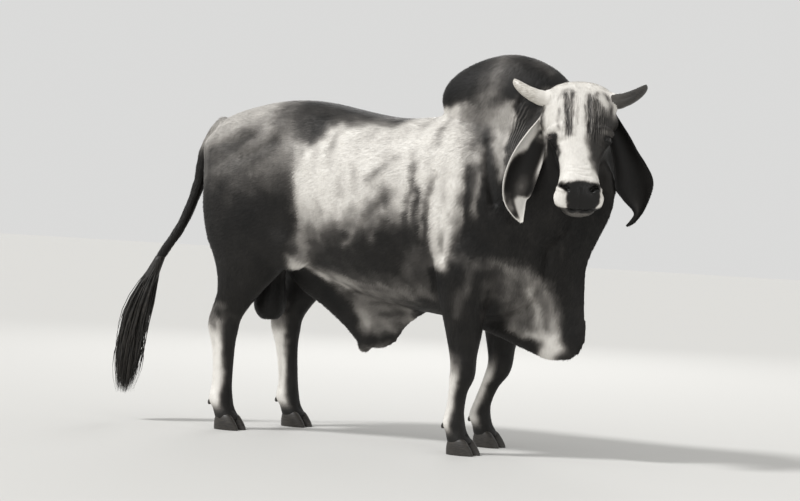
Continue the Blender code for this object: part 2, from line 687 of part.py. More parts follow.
def ear_solid(name, side, rows, along=16, across=7):
    """Long hanging ear: a cupped sheet of changing width, thick at the root, hooked at its tip."""
    path = through(rows, 6)
    path = path[np.linspace(0, len(path) - 1, along).round().astype(int)]
    share = np.linspace(0, 1, along)
    curl = np.interp(share, [0, 0.25, 0.6, 0.85, 1.0], [1.75, 1.45, 1.00, 1.15, 1.3])
    left = HEAD_LEFT * side
    base = np.array([POLL[0], POLL[1], 0.0]) - 0.060 * FACE
    up = np.array([0.0, 0.0, 1.0])
    rings = []
    for j in range(along):
        out, deep, z, half = path[j]
        mid = base + out * left + deep * FACE + z * up
        step = path[min(j + 1, along - 1)] - path[max(j - 1, 0)]
        tangent = step[0] * left + step[1] * FACE + step[2] * up
        tangent /= np.linalg.norm(tangent)
        opening = FACE - left * np.interp(share[j], [0, 0.4, 1], [0.1, 0.30, 0.45])
        opening -= tangent * (opening @ tangent)
        opening /= np.linalg.norm(opening)
        width = np.cross(tangent, opening)
        radius = half / math.sin(min(curl[j], 1.57))
        thick = np.interp(share[j], [0, 0.12, 0.8, 1], [0.012, 0.007, 0.005, 0.003])
        loop = []
        angles = np.linspace(-curl[j], curl[j], across)
        for skin, order in ((0.5, angles), (-0.5, angles[::-1])):
            for a in order:
                r = radius + skin * thick * (0.5 if abs(a) > curl[j] - 1e-6 else 1.0)
                loop.append(mid + r * math.sin(a) * width
                            - (r * math.cos(a) - radius * math.cos(curl[j] * 0.6)) * opening)
        rings.append(np.array(loop))
    return temp_object(name, mesh_from(name, [closed_loft(rings)]))


def horn_solid(name, side):
    """Short thick horn, curving out and up, ringed at its base."""
    path = through([(0.130, -0.062, 0.044), (0.172, -0.058, 0.038), (0.214, -0.054, 0.022),
                    (0.250, -0.054, -0.002), (0.275, -0.058, -0.028), (0.284, -0.062, -0.048)], 2)
    rings = []
    for j, (out, deep, along) in enumerate(path):
        t = j / (len(path) - 1)
        radius = 0.025 * (1 - t) ** 0.8 + 0.009 * (1 - t ** 5) + 0.003
        nxt = path[min(j + 1, len(path) - 1)] - path[max(j - 1, 0)]
        axis = nxt[0] * side * HEAD_LEFT + nxt[1] * HEAD_OUT + nxt[2] * HEAD_LONG
        axis /= np.linalg.norm(axis)
        u = np.cross(axis, FACE)
        u /= np.linalg.norm(u)
        v = np.cross(axis, u)
        rings.append(ring(head_point(along, side * out, deep), u, v, radius, radius, radius, count=10))
    return temp_object(name, mesh_from(name, [closed_loft(rings)]))


def eye_solid(name, side):
    ball = egg(head_point(EYE_ALONG, side * EYE_OUT, EYE_DEEP), (EYE_RADIUS,) * 3, HEAD_LONG, HEAD_OUT,
               rings=7, count=10)
    return temp_object(name, mesh_from(name, [ball]))


def claw_solid(name, foot, side_in_foot):
    """One half of a cloven hoof, flat soled, higher and steeper in front."""
    fx, fy, _ = foot
    out = math.copysign(1.0, side_in_foot)
    rows = []
    for z, dx, w, rear, front in ((0.000, 0.000, 0.50, 0.50, 0.56), (0.012, 0.000, 0.50, 0.50, 0.53),
                                  (0.040, -0.006, 0.46, 0.45, 0.44), (0.062, -0.010, 0.36, 0.38, 0.33),
                                  (0.074, -0.014, 0.24, 0.26, 0.22)):
        rows.append((fx + dx + 0.022, fy + out * CLAW_SPREAD, z, 0, 90,
                     w * CLAW_WIDTH, rear * CLAW_LENGTH, front * CLAW_LENGTH))
    piece = tube(rows, steps=1, count=12)
    return temp_object(name, mesh_from(name, [piece]))


def dewclaw_solid(name, foot, side_in_foot, back):
    fx, fy, _ = foot
    centre = (fx - back, fy + math.copysign(0.024, side_in_foot), 0.128)
    piece = egg(centre, (0.022, 0.013, 0.012), (-0.6, 0, -0.8), rings=5, count=6)
    return temp_object(name, mesh_from(name, [piece]))


TAIL_PATH = [
    (-1.010, 0.000, 1.440), (-1.085, 0.000, 1.385), (-1.135, -0.008, 1.270), (-1.150, -0.030, 1.130),
    (-1.190, -0.090, 0.945), (-1.255, -0.150, 0.800), (-1.300, -0.190, 0.680), (-1.325, -0.215, 0.580),
]


def tail_solid():
    path = through(TAIL_PATH, 4)
    radius = np.interp(np.linspace(0, 1, len(path)), [0, 0.2, 0.5, 0.8, 1.0],
                       [0.048, 0.036, 0.024, 0.019, 0.008])
    rings = []
    for j, here in enumerate(path):
        axis = path[min(j + 1, len(path) - 1)] - path[max(j - 1, 0)]
        axis /= np.linalg.norm(axis)
        u = np.cross(axis, (0.0, 1.0, 0.0))
        u /= np.linalg.norm(u)
        rings.append(ring(here, np.cross(axis, u), u, radius[j], radius[j], radius[j], count=12))
    return temp_object("tail", mesh_from("tail", [closed_loft(rings)]))


def lock_piece(root, belly, tip, width, flat, steps=4):
    """One flat, tapered lock of long hair on a bending line from its root to its tip."""
    root, belly, tip = (np.array(p, float) for p in (root, belly, tip))
    rings = []
    for k in range(steps + 1):
        t = k / steps
        here = (1 - t) ** 2 * root + 2 * t * (1 - t) * belly + t * t * tip
        way = 2 * (1 - t) * (belly - root) + 2 * t * (tip - belly)
        way /= np.linalg.norm(way)
        broad = flat - way * (flat @ way)
        broad /= np.linalg.norm(broad)
        thin = np.cross(way, broad)
        taper = (0.75, 1.0, 0.95, 0.68, 0.12)[k] if steps == 4 else max(math.sin(2.6 * t + 0.5), 0.1)
        w, d = width * taper, width * 0.42 * taper
        rings.append(np.array([here + w * broad, here + d * thin, here - w * broad, here - d * thin]))
    return closed_loft(rings)


def switch_solid(locks=28):
    """Tail switch: a short core with flat locks rooted along it, fused to one body."""
    rng = random.Random(11)
    core = through([(-1.262, -0.156, 0.786), (-1.290, -0.181, 0.700), (-1.318, -0.208, 0.600),
                    (-1.340, -0.230, 0.500), (-1.352, -0.242, 0.420)], 4)
    radius = np.interp(np.linspace(0, 1, len(core)), [0, 0.25, 0.6, 1.0], [0.026, 0.036, 0.046, 0.012])
    rings = [ring(p, np.array([1.0, 0, 0]), np.array([0, 1.0, 0]), r, r, r, count=10)
             for p, r in zip(core, radius)]
    obj = temp_object("tail_switch", mesh_from("tail_switch", [closed_loft(rings)]))
    hair = collection("locks")
    for k in range(locks):
        t = (k + 0.5) / locks
        a = 2.4 * k + rng.uniform(-0.2, 0.2)
        out = np.array([math.cos(a), math.sin(a), 0.0])
        root = core[int((0.12 + 0.78 * t) * (len(core) - 1))] + 0.014 * out
        low = 0.122 + 0.20 * (1 - t) ** 1.5 * rng.uniform(0.2, 1.0)
        tip = np.array([-1.364, -0.268, low]) + out * rng.uniform(0.010, 0.050)
        belly = np.array([-1.364, -0.244, (root[2] + low) / 2]) + out * rng.uniform(0.060, 0.120)
        flat = np.array([-out[1], out[0], 0.0]) + 0.3 * rng.uniform(-1, 1) * out
        piece = lock_piece(root, belly, tip, rng.uniform(0.020, 0.028), flat)
        hair.objects.link(bpy.data.objects.new(f"lock {k}", mesh_from(f"lock {k}", [piece])))
    mod = obj.modifiers.new("fuse", "BOOLEAN")
    mod.operation = "UNION"
    mod.operand_type = "COLLECTION"
    mod.collection = hair
    mod.solver = "EXACT"
    mod.use_self = True
    applied(obj)
    for lock in list(hair.objects):
        drop(lock)
    bpy.data.collections.remove(hair)
    return largest_only(obj)


def material(name):
    mat = bpy.data.materials.new(name)
    mat.use_nodes = True
    shader = mat.node_tree.nodes["Principled BSDF"]
    shader.inputs["Base Color"].default_value = (*HAIR_TONE[name], 1.0)
    shader.inputs["Roughness"].default_value = 0.7
    return mat


def finished(obj, name, tone, col, smooth=True):
    """Move the node to its place in the frame, shade and name it."""
    points = points_of(obj.data) - np.array([BOX_MIDDLE_X, BOX_MIDDLE_Y, 0.0])
    obj.data.vertices.foreach_set("co", points.ravel())
    obj.data.update()
    obj.data.materials.clear()
    obj.data.materials.append(material_by_name(tone))
    for poly in obj.data.polygons:
        poly.use_smooth = smooth
    for owner in list(obj.users_collection):
        owner.objects.unlink(obj)
    obj.name = name
    obj.data.name = name
    col.objects.link(obj)


def material_by_name(name):
    return bpy.data.materials.get(name) or material(name)


def leg_region(name):
    """Region round one leg: its top leans up and outward, its inner side stands upright."""
    fx, fy, _ = FEET[name]
    side = math.copysign(1.0, fy)
    if name.startswith("fore"):
        low, high, inner, outer = fx - 0.20, fx + 0.26, (0.045, 0.620), (0.450, 0.800)
    else:
        low, high, inner, outer = fx - 0.35, fx + 0.43, (0.030, 0.790), (0.450, 0.920)
    outline = [(side * inner[0], inner[1]), (side * outer[0], outer[1]),
               (side * outer[0], -0.05), (side * inner[0], -0.05)]
    return prism_pair(outline, low, high, "x")


def head_region():
    """Box holding the head; its rear face cuts the neck behind the jaw."""
    back = direction(math.radians(-50), math.radians(8))
    left = np.array([-back[1], back[0], 0.0])
    left /= np.linalg.norm(left)
    up = np.cross(back, left)
    turn = np.stack([back, left, up], axis=1)
    cut = head_point(0.060, 0.0, -0.185)
    centre = cut + 0.30 * back + 0.02 * left - 0.16 * up
    half = (0.30, 0.26, 0.45)
    return (box_region("head inner", centre, half, turn), box_region("head outer", centre, half, turn, GAP))


def main():
    clear_scene()
    bull = collection("brahman_bull")
    flesh = whole_flesh()
    thin_flesh(flesh)

    nodes = {}
    nodes["head"] = parted(flesh, "head", *head_region())
    nodes["hump"] = parted(flesh, "hump", *prism_pair(
        [(0.100, 1.492), (0.300, 1.520), (0.600, 1.540), (0.960, 1.500), (0.960, 1.90), (0.100, 1.90)],
        -0.30, 0.30))
    nodes["dewlap"] = parted(flesh, "dewlap", *prism_pair(
        [(0.440, 0.600), (0.440, 0.400), (1.250, 0.400), (1.250, 1.230), (0.900, 1.230), (0.780, 0.900),
         (0.700, 0.660)], -0.12, 0.12))
    nodes["neck"] = parted(flesh, "neck", *prism_pair(
        [(0.560, 1.62), (0.760, 0.860), (0.900, 0.80), (1.300, 1.000), (1.300, 1.62)], -0.50, 0.50))
    nodes["sheath"] = parted(flesh, "sheath", *prism_pair(
        [(0.170, 0.610), (0.150, 0.350), (-0.480, 0.350), (-0.460, 0.660), (-0.200, 0.660)], -0.11, 0.11))
    nodes["scrotum"] = parted(flesh, "scrotum", *prism_pair(
        [(-0.610, 0.720), (-0.610, 0.450), (-0.840, 0.450), (-0.840, 0.720)], -0.100, 0.100))
    for name in FEET:
        nodes[name] = parted(flesh, name, *leg_region(name))
    nodes["torso"] = largest_only(flesh)

    for side, word in ((-1, "right"), (1, "left")):
        eye = eye_solid(f"eye_{word}", side)
        hollow = swollen(eye, ROUND_GAP, "hollow")
        combined(nodes["head"], hollow, "DIFFERENCE")
        drop(hollow)
        skin = swollen(nodes["head"], 2 * ROUND_GAP, "skin")
        horn = combined(horn_solid(f"horn_{word}", side), skin, "DIFFERENCE")
        ear = ear_solid(f"ear_{word}", side, EAR_RIGHT if side < 0 else EAR_LEFT)
        combined(ear, skin, "DIFFERENCE")
        beside = swollen(horn, ROUND_GAP, "beside")
        combined(ear, beside, "DIFFERENCE")
        drop(beside)
        drop(skin)
        nodes[f"eye_{word}"] = eye
        nodes[f"horn_{word}"] = largest_only(horn)
        nodes[f"ear_{word}"] = largest_only(ear)
    largest_only(nodes["head"])

    for leg, foot in FEET.items():
        place = ("fore_" if leg.startswith("fore") else "hind_") + leg.split("_")[1]
        side = math.copysign(1.0, foot[1])
        for word, way in (("outer", side), ("inner", -side)):
            claw = claw_solid(f"claw_{place}_{word}", foot, way)
            back = 0.062 if leg.startswith("fore") else 0.074
            spur = dewclaw_solid(f"dewclaw_{place}_{word}", foot, way, back)
            for horny in (claw, spur):
                room = swollen(horny, ROUND_GAP, "room")
                combined(nodes[leg], room, "DIFFERENCE")
                drop(room)
                nodes[horny.name] = horny
        largest_only(nodes[leg])

    tail = tail_solid()
    body = swollen(nodes["torso"], ROUND_GAP, "body")
    combined(tail, body, "DIFFERENCE")
    drop(body)
    largest_only(tail)
    shaft_turn = np.eye(3)
    dock = parted(tail, "tail_dock",
                  box_region("d", (-1.1, 0, 1.40), (0.4, 0.4, 0.22), shaft_turn),
                  box_region("d2", (-1.1, 0, 1.40), (0.4, 0.4, 0.22), shaft_turn, GAP))
    switch = switch_solid()
    inside = swollen(switch, ROUND_GAP, "inside")
    combined(tail, inside, "DIFFERENCE")
    drop(inside)
    nodes["tail_dock"] = dock
    nodes["tail_shaft"] = largest_only(tail)
    nodes["tail_switch"] = switch

    for name, obj in nodes.items():
        tone = "pale_grey_hide"
        if name.startswith(("foreleg", "hindleg", "hump", "dewlap", "scrotum", "tail_shaft")):
            tone = "dark_grey_hide"
        for key, value in (("horn", "horn"), ("claw", "hoof"), ("dewclaw", "hoof"), ("eye", "eye"),
                           ("tail_switch", "switch_hair")):
            if name.startswith(key):
                tone = value
        finished(obj, name, tone, bull)


def thin_flesh(flesh):
    """Fewer triangles before the cuts: the head keeps the most."""
    mesh = flesh.data
    points = points_of(mesh)
    group = flesh.vertex_groups.new(name="body")
    weights = np.where(on_head(points), 0.0, 1.0)
    for index in np.nonzero(weights > 0.5)[0]:
        group.add([int(index)], 1.0, "REPLACE")
    mod = flesh.modifiers.new("fewer on the body", "DECIMATE")
    mod.vertex_group = "body"
    mesh.calc_loop_triangles()
    total = len(mesh.loop_triangles)
    head = int(np.sum(on_head(points))) * 2
    mod.ratio = (head + 3600) / total
    mod.use_collapse_triangulate = True
    applied(flesh)
    mesh = flesh.data
    points = points_of(mesh)
    flesh.vertex_groups.clear()
    group = flesh.vertex_groups.new(name="head")
    group.add([int(i) for i in np.nonzero(on_head(points))[0]], 1.0, "REPLACE")
    mod = flesh.modifiers.new("fewer on the head", "DECIMATE")
    mod.vertex_group = "head"
    mesh.calc_loop_triangles()
    total = len(mesh.loop_triangles)
    head = int(np.sum(on_head(points))) * 2
    mod.ratio = (total - head + 2400) / total
    mod.use_collapse_triangulate = True
    applied(flesh)
    flesh.vertex_groups.clear()
    points = points_of(flesh.data)
    relaxed = evened(points, edges_of(flesh.data), 2, np.where(on_head(points), 0.7, 0.3), back=0.35)
    flesh.data.vertices.foreach_set("co", relaxed.ravel())
    flesh.data.update()


main()
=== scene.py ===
# %% [markdown]
# A life-size model of a Brahman bull that stands with its head turned to its right.
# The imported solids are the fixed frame: they give the size, the place of every part and
# what MuJoCo collides with. This script only dresses them. One skin replaces all the
# flesh, and eyes, horns, hooves and the long hair of the tail are pieces of their own.

# %% Load the frame
import json
import math
import random

import bmesh
import bpy
import numpy as np
from mathutils import Matrix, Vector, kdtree

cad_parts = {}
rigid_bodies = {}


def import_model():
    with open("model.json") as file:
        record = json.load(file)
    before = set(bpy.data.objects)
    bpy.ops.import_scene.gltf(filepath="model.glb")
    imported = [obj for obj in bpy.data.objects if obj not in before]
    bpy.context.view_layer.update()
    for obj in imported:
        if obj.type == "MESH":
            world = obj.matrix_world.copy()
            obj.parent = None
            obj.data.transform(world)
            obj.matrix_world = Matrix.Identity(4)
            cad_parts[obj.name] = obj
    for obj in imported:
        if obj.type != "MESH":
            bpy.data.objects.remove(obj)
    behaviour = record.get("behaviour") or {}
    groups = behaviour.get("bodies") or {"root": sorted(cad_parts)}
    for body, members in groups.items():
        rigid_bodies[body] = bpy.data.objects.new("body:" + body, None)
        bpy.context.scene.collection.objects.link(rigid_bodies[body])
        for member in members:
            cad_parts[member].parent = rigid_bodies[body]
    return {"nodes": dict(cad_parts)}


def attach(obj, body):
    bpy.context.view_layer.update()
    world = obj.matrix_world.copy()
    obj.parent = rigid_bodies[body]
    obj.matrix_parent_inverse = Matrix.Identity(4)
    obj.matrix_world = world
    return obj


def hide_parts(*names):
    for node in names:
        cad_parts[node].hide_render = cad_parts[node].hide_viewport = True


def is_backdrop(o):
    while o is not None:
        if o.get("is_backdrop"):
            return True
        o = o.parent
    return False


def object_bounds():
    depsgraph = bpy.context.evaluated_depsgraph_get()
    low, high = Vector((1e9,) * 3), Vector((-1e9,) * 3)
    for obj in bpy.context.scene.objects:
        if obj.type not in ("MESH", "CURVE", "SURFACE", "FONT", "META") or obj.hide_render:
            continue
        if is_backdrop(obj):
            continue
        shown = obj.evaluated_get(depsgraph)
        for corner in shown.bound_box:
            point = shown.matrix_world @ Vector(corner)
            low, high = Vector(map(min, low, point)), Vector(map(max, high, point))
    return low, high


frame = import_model()
cad_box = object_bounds()
print("frame nodes:", len(frame["nodes"]))

# %% [markdown]
# The photograph was taken from the bull's right and a little in front, from chest height
# and some 11 m away. Its horizon, its hooves and its outline give the long lens, the small
# tilt and the roll of the camera. All shapes below are drawn about the middle of the
# barrel and moved forward by SHIFT at the end, just as the solids were.

# %% Camera
SHIFT = np.array([0.0764, 0.0, 0.0])
VIEW_YAW, VIEW_FAR, VIEW_HEIGHT = math.radians(33.0), 11.0, 1.105
VIEW_DIP, VIEW_ROLL = math.radians(1.2055), math.radians(2.5)
SENSOR, PHOTO_WIDTH, FOCAL_PIXELS = 36.0, 800, 2414      # millimetres, pixels, pixels


def unit(vector):
    return vector / np.linalg.norm(vector)


def add_camera():
    data = bpy.data.cameras.new("camera")
    data.sensor_width, data.lens = SENSOR, FOCAL_PIXELS / PHOTO_WIDTH * SENSOR
    data.clip_end = 200.0
    cam = bpy.data.objects.new("camera", data)
    bpy.context.scene.collection.objects.link(cam)
    flat = np.array([-math.sin(VIEW_YAW), math.cos(VIEW_YAW), 0.0])
    ahead = math.cos(VIEW_DIP) * flat - math.sin(VIEW_DIP) * np.array([0, 0, 1.0])
    right = unit(np.cross(ahead, (0, 0, 1.0)))
    up = np.cross(right, ahead)
    c, s = math.cos(VIEW_ROLL), math.sin(VIEW_ROLL)
    right, up = right * c + up * s, up * c - right * s
    place = np.eye(4)
    place[:3, 0], place[:3, 1], place[:3, 2] = right, up, -ahead
    place[:3, 3] = SHIFT - VIEW_FAR * flat + np.array([0, 0, VIEW_HEIGHT])
    cam.matrix_world = Matrix(place.tolist())
    bpy.context.scene.camera = cam
    return cam


camera = add_camera()
print("camera at", [round(v, 3) for v in camera.location])

# %% [markdown]
# Materials, and later the coat, are built from nodes. One could be clicked together by hand;
# with a few small helpers each takes a few lines that can be read.

# %% Nodes, materials and objects
def linear(hex_colour):
    """sRGB hex to the linear numbers that shaders use."""
    out = []
    for k in (0, 2, 4):
        c = int(hex_colour[k:k + 2], 16) / 255
        out.append(c / 12.92 if c <= 0.04045 else ((c + 0.055) / 1.055) ** 2.4)
    return (*out, 1.0)


def node(tree, kind, links=(), **settings):
    """Add one node: settings are properties or input values, links are (input, socket)."""
    made = tree.nodes.new(kind)
    for key, value in settings.items():
        if key.startswith("in_"):
            place = key[3:].replace("_", " ")
            made.inputs[int(place) if place.isdigit() else place].default_value = value
        else:
            setattr(made, key, value)
    for place, source in links:
        tree.links.new(source, made.inputs[place])
    return made


def calc(tree, operation, *values):
    """One math node on numbers and sockets; gives back its result."""
    made = node(tree, "ShaderNodeMath", operation=operation)
    for k, value in enumerate(values):
        if isinstance(value, (int, float)):
            made.inputs[k].default_value = value
        else:
            tree.links.new(value, made.inputs[k])
    return made.outputs[0]


def new_material(name, **values):
    """A material; values are inputs of its shader, with _ for a space."""
    mat = bpy.data.materials.new(name)
    mat.use_nodes = True
    shader = mat.node_tree.nodes["Principled BSDF"]
    for key, value in values.items():
        shader.inputs[key.replace("_", " ")].default_value = value
    return mat, mat.node_tree, shader


def new_object(name, mesh):
    obj = bpy.data.objects.new(name, mesh)
    bpy.context.scene.collection.objects.link(obj)
    return obj


print("mid grey in linear light:", round(linear("808080")[0], 3))

# %% [markdown]
# A plain pale floor and soft studio light. The main light stands high on the camera's
# left, as the sun does in the photograph, so that the right side of the head, the
# shoulder and the barrel are bright and the far cheek falls into shade.

# %% Floor and lights
def add_floor():
    bm = bmesh.new()
    bmesh.ops.create_grid(bm, x_segments=24, y_segments=24, size=30.0)
    mesh = bpy.data.meshes.new("floor")
    bm.to_mesh(mesh)
    bm.free()
    floor = new_object("floor", mesh)
    # matt painted boards, plain and pale
    mesh.materials.append(new_material("studio_floor", Base_Color=linear("CBCAC7"),
                                       Roughness=0.85, Specular_IOR_Level=0.2)[0])
    floor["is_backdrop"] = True


def add_light(name, place, aim, size, power, kind="AREA", colour="FFFFFF"):
    """A round softbox of a size in metres, or a distant lamp as wide as an angle in degrees."""
    data = bpy.data.lights.new(name, kind)
    if kind == "AREA":
        data.shape, data.size = "DISK", size
    else:
        data.angle = math.radians(size)
    data.energy, data.color = power, linear(colour)[:3]
    lamp = bpy.data.objects.new(name, data)
    bpy.context.scene.collection.objects.link(lamp)
    way = unit(np.array(aim, float) - np.array(place, float))
    side = unit(np.cross(way, (0, 0, 1.0)))
    turn = np.eye(4)
    turn[:3, 0], turn[:3, 1], turn[:3, 2], turn[:3, 3] = side, np.cross(side, way), -way, place
    lamp.matrix_world = Matrix(turn.tolist())


def add_sky(strength):
    world = bpy.data.worlds.new("studio")
    world.use_nodes = True
    background = world.node_tree.nodes["Background"]
    background.inputs["Color"].default_value = linear("ECECEB")
    background.inputs["Strength"].default_value = strength
    bpy.context.scene.world = world


add_floor()
add_sky(0.84)
add_light("key", (-4.0, -4.9, 8.0), (0.0, 0.0, 0.0), 9.0, 2.1, kind="SUN")
add_light("fill", (7.5, -4.5, 2.4), (0.4, 0.0, 0.9), 3.0, 45)
add_light("rim", (-3.5, 6.0, 4.0), (0.0, 0.0, 1.1), 3.0, 90)
# plain contrast, as on the photographic print, with deep blacks and clean whites
bpy.context.scene.view_settings.view_transform = "Standard"

# %% [markdown]
# The head has its own frame: down the face, to the animal's left, and outward from the
# forehead. Everything on the head is placed in it, so that the turn of the head can be
# changed with one number.

# %% The frame of the head
POLL = np.array([0.985, -0.15, 1.628])     # top of the head, between the horns
FACE_YAW, FACE_LEAN = math.radians(-57.0), math.radians(25.0)
EYE_ALONG, EYE_OUT, EYE_DEEP, EYE_RADIUS = 0.235, 0.112, -0.052, 0.021
SIDES = ((-1, "right"), (1, "left"))


def direction(yaw, pitch):
    flat = math.cos(pitch)
    return np.array([flat * math.cos(yaw), flat * math.sin(yaw), math.sin(pitch)])


FACE = direction(FACE_YAW, 0.0)
HEAD_LONG = math.sin(FACE_LEAN) * FACE - math.cos(FACE_LEAN) * np.array([0.0, 0.0, 1.0])
HEAD_OUT = math.cos(FACE_LEAN) * FACE + math.sin(FACE_LEAN) * np.array([0.0, 0.0, 1.0])
HEAD_LEFT = np.cross(HEAD_OUT, HEAD_LONG)


def head_point(along, left, out):
    """World position of a place on the head: from the poll down the face, to the left, outward."""
    return POLL + along * HEAD_LONG + left * HEAD_LEFT + out * HEAD_OUT


def head_coords(points):
    """The other way round: how far down the face, to the left and outward the points are."""
    rel = points - POLL
    return rel @ HEAD_LONG, rel @ HEAD_LEFT, rel @ HEAD_OUT


print("head looks", np.round(FACE, 2), "face line", np.round(HEAD_LONG, 2))

# %% [markdown]
# Flesh has no edges, so it is drawn as a sculptor does it: simple masses first, each a loft
# through a few oval sections, which are then melted into one another. It could be carved in
# sculpt mode as well, but a loft stays a short table that can be measured and changed. These
# helpers make the lofts. The same ones make the horns, the hooves and the tail.

# %% Lofts through sections
RING = 28               # points round a loft


def through(rows, steps):
    """Rows of a smooth curve that runs through every given row, `steps` of them a span."""
    rows = np.array(rows, float)
    padded = np.vstack([2 * rows[0] - rows[1], rows, 2 * rows[-1] - rows[-2]])
    out = []
    for i in range(1, len(padded) - 2):
        a, b, c, d = padded[i - 1:i + 3]
        for k in range(steps):
            t = k / steps
            out.append(0.5 * (2 * b + (c - a) * t + (2 * a - 5 * b + 4 * c - d) * t * t
                              + (3 * b - a - 3 * c + d) * t ** 3))
    out.append(padded[-2])
    return np.array(out)


def ring(centre, side, up, w, high, low, n_up=2.0, n_down=2.0, count=RING):
    """Superellipse ring with its own upper and lower height and squareness."""
    ang = np.linspace(0, 2 * math.pi, count, endpoint=False)
    c, s = np.cos(ang), np.sin(ang)
    n = np.where(s >= 0, n_up, n_down)
    h = np.where(s >= 0, high, low)
    y = w * np.sign(c) * np.abs(c) ** (2 / n)
    z = h * np.sign(s) * np.abs(s) ** (2 / n)
    return centre + y[:, None] * side + z[:, None] * up


def closed_loft(rings):
    """Vertices and faces of a loft through equal rings, with a point at each end."""
    count = len(rings[0])
    verts = [p for r in rings for p in r]
    faces = []
    for j in range(len(rings) - 1):
        for i in range(count):
            k = (i + 1) % count
            low, high = j * count, (j + 1) * count
            faces.append((low + i, low + k, high + k, high + i))
    first, last = len(verts), len(verts) + 1
    verts += [np.mean(rings[0], axis=0), np.mean(rings[-1], axis=0)]
    base = (len(rings) - 1) * count
    for i in range(count):
        k = (i + 1) % count
        faces.append((first, k, i))
        faces.append((last, base + i, base + k))
    return np.array(verts), faces


def tube(rows, steps=3, count=RING):
    """Loft along rows: x, y, z, yaw and pitch in degrees, half width, height and depth."""
    rings = []
    for row in through(rows, steps):
        axis = direction(math.radians(row[3]), math.radians(row[4]))
        side = np.array([-math.sin(math.radians(row[3])), math.cos(math.radians(row[3])), 0.0])
        up = np.cross(axis, side)
        n_up, n_down = (row[8], row[9]) if len(row) > 9 else (2.0, 2.0)
        sizes = np.maximum(row[5:8], 0.004)
        rings.append(ring(row[:3], side, up, *sizes, n_up, n_down, count))
    return closed_loft(rings)


def egg(centre, radii, axis=(1, 0, 0), up=(0, 0, 1), rings=11, count=20):
    """Ellipsoid with its first radius along `axis`, from a sphere primitive."""
    axis = unit(np.array(axis, float))
    side = unit(np.cross(np.array(up, float), axis))
    top = np.cross(axis, side)
    bm = bmesh.new()
    bmesh.ops.create_uvsphere(bm, u_segments=count, v_segments=rings, radius=1.0)
    ball = np.array([v.co for v in bm.verts])
    faces = [tuple(v.index for v in f.verts) for f in bm.faces]
    bm.free()
    x, y, z = ball[:, 2:3], ball[:, 0:1], ball[:, 1:2]
    wide = radii[0] * x * axis + radii[1] * y * side + radii[2] * z * top
    return np.array(centre, float) + wide, faces


def slab(rows, steps=3, count=RING):
    """Upright fold of skin from level cuts: z, rear x, front x, middle y, half thickness."""
    rings = []
    for z, rear, front, mid, thick in through(rows, steps):
        ang = np.linspace(0, 2 * math.pi, count, endpoint=False)
        half = (front - rear) / 2
        x = (front + rear) / 2 + half * np.cos(ang)
        y = mid + thick * np.sin(ang) * (0.75 - 0.25 * np.cos(ang))
        rings.append(np.stack([x, y, np.full(count, z)], axis=1))
    return closed_loft(rings)


print("a smooth row:", np.round(through([[0.0], [1.0], [0.5]], 3).ravel(), 2))

# %% [markdown]
# Small helpers: meshes from lofts, reading, writing and evening the points of a mesh, and
# soft steps and hills, which say how strongly a point takes part in a shape or a marking.

# %% Meshes, shares and points
def mesh_from(name, pieces):
    """One mesh holding every (verts, faces) piece, all facing outward."""
    bm = bmesh.new()
    for verts, faces in pieces:
        made = [bm.verts.new(v) for v in verts]
        for face in faces:
            bm.faces.new([made[i] for i in face])
    bmesh.ops.recalc_face_normals(bm, faces=bm.faces)
    mesh = bpy.data.meshes.new(name)
    bm.to_mesh(mesh)
    bm.free()
    return mesh


def applied(obj):
    """Give the object its evaluated mesh and drop its modifiers."""
    bpy.context.view_layer.update()
    graph = bpy.context.evaluated_depsgraph_get()
    mesh = bpy.data.meshes.new_from_object(obj.evaluated_get(graph))
    obj.modifiers.clear()
    obj.data = mesh
    return obj


def smoothstep(t):
    """Soft step from 0 to 1 as t runs from 0 to 1."""
    return t * t * (3 - 2 * t)


def rise(value, start, over):
    """0 up to `start`, then straight up to 1 over a distance."""
    return np.clip((value - start) / over, 0, 1)


def fall(value, end, over):
    """1 up to a distance before `end`, then straight down to 0."""
    return np.clip((end - value) / over, 0, 1)


def hill(value, top, width):
    """1 at `top`, fading to 0 on both sides."""
    return np.exp(-((value - top) / width) ** 2)


def far_from(points, place):
    return np.linalg.norm(points - place, axis=1)


def points_of(mesh):
    out = np.empty(len(mesh.vertices) * 3)
    mesh.vertices.foreach_get("co", out)
    return out.reshape(-1, 3)


def set_points(mesh, points):
    mesh.vertices.foreach_set("co", points.ravel())
    mesh.update()


def edges_of(mesh):
    out = np.empty(len(mesh.edges) * 2, dtype=np.int64)
    mesh.edges.foreach_get("vertices", out)
    return out.reshape(-1, 2)


def normals_of(mesh):
    out = np.empty(len(mesh.vertices) * 3)
    mesh.vertex_normals.foreach_get("vector", out)
    return out.reshape(-1, 3)


def neighbour_mean(points, edges, degree):
    total = np.zeros_like(points)
    a, b = edges.T
    for k in range(points.shape[1]):
        total[:, k] = (np.bincount(a, points[b, k], len(points))
                       + np.bincount(b, points[a, k], len(points)))
    return total / degree[:, None]


def evened(points, edges, rounds, amount, back=0.55):
    """Points drawn to their neighbours by a share, with a push back against shrinking."""
    degree = np.bincount(edges.ravel(), minlength=len(points)).astype(float)
    amount = np.broadcast_to(np.asarray(amount, float), (len(points),))[:, None]
    for _ in range(rounds):
        points = points + 0.6 * amount * (neighbour_mean(points, edges, degree) - points)
        points = points - back * amount * (neighbour_mean(points, edges, degree) - points)
    return points


print("a soft step:", smoothstep(rise(np.linspace(0, 1, 5), 0.25, 0.5)))

# %% [markdown]
# Trunk, hump, neck and dewlap. The hump is the mark of the breed: a muscle over the
# withers that leans back over the chine. The dewlap hangs from the throat to between the
# forelegs as a thin fold, drawn from level cuts because it is much deeper than thick.

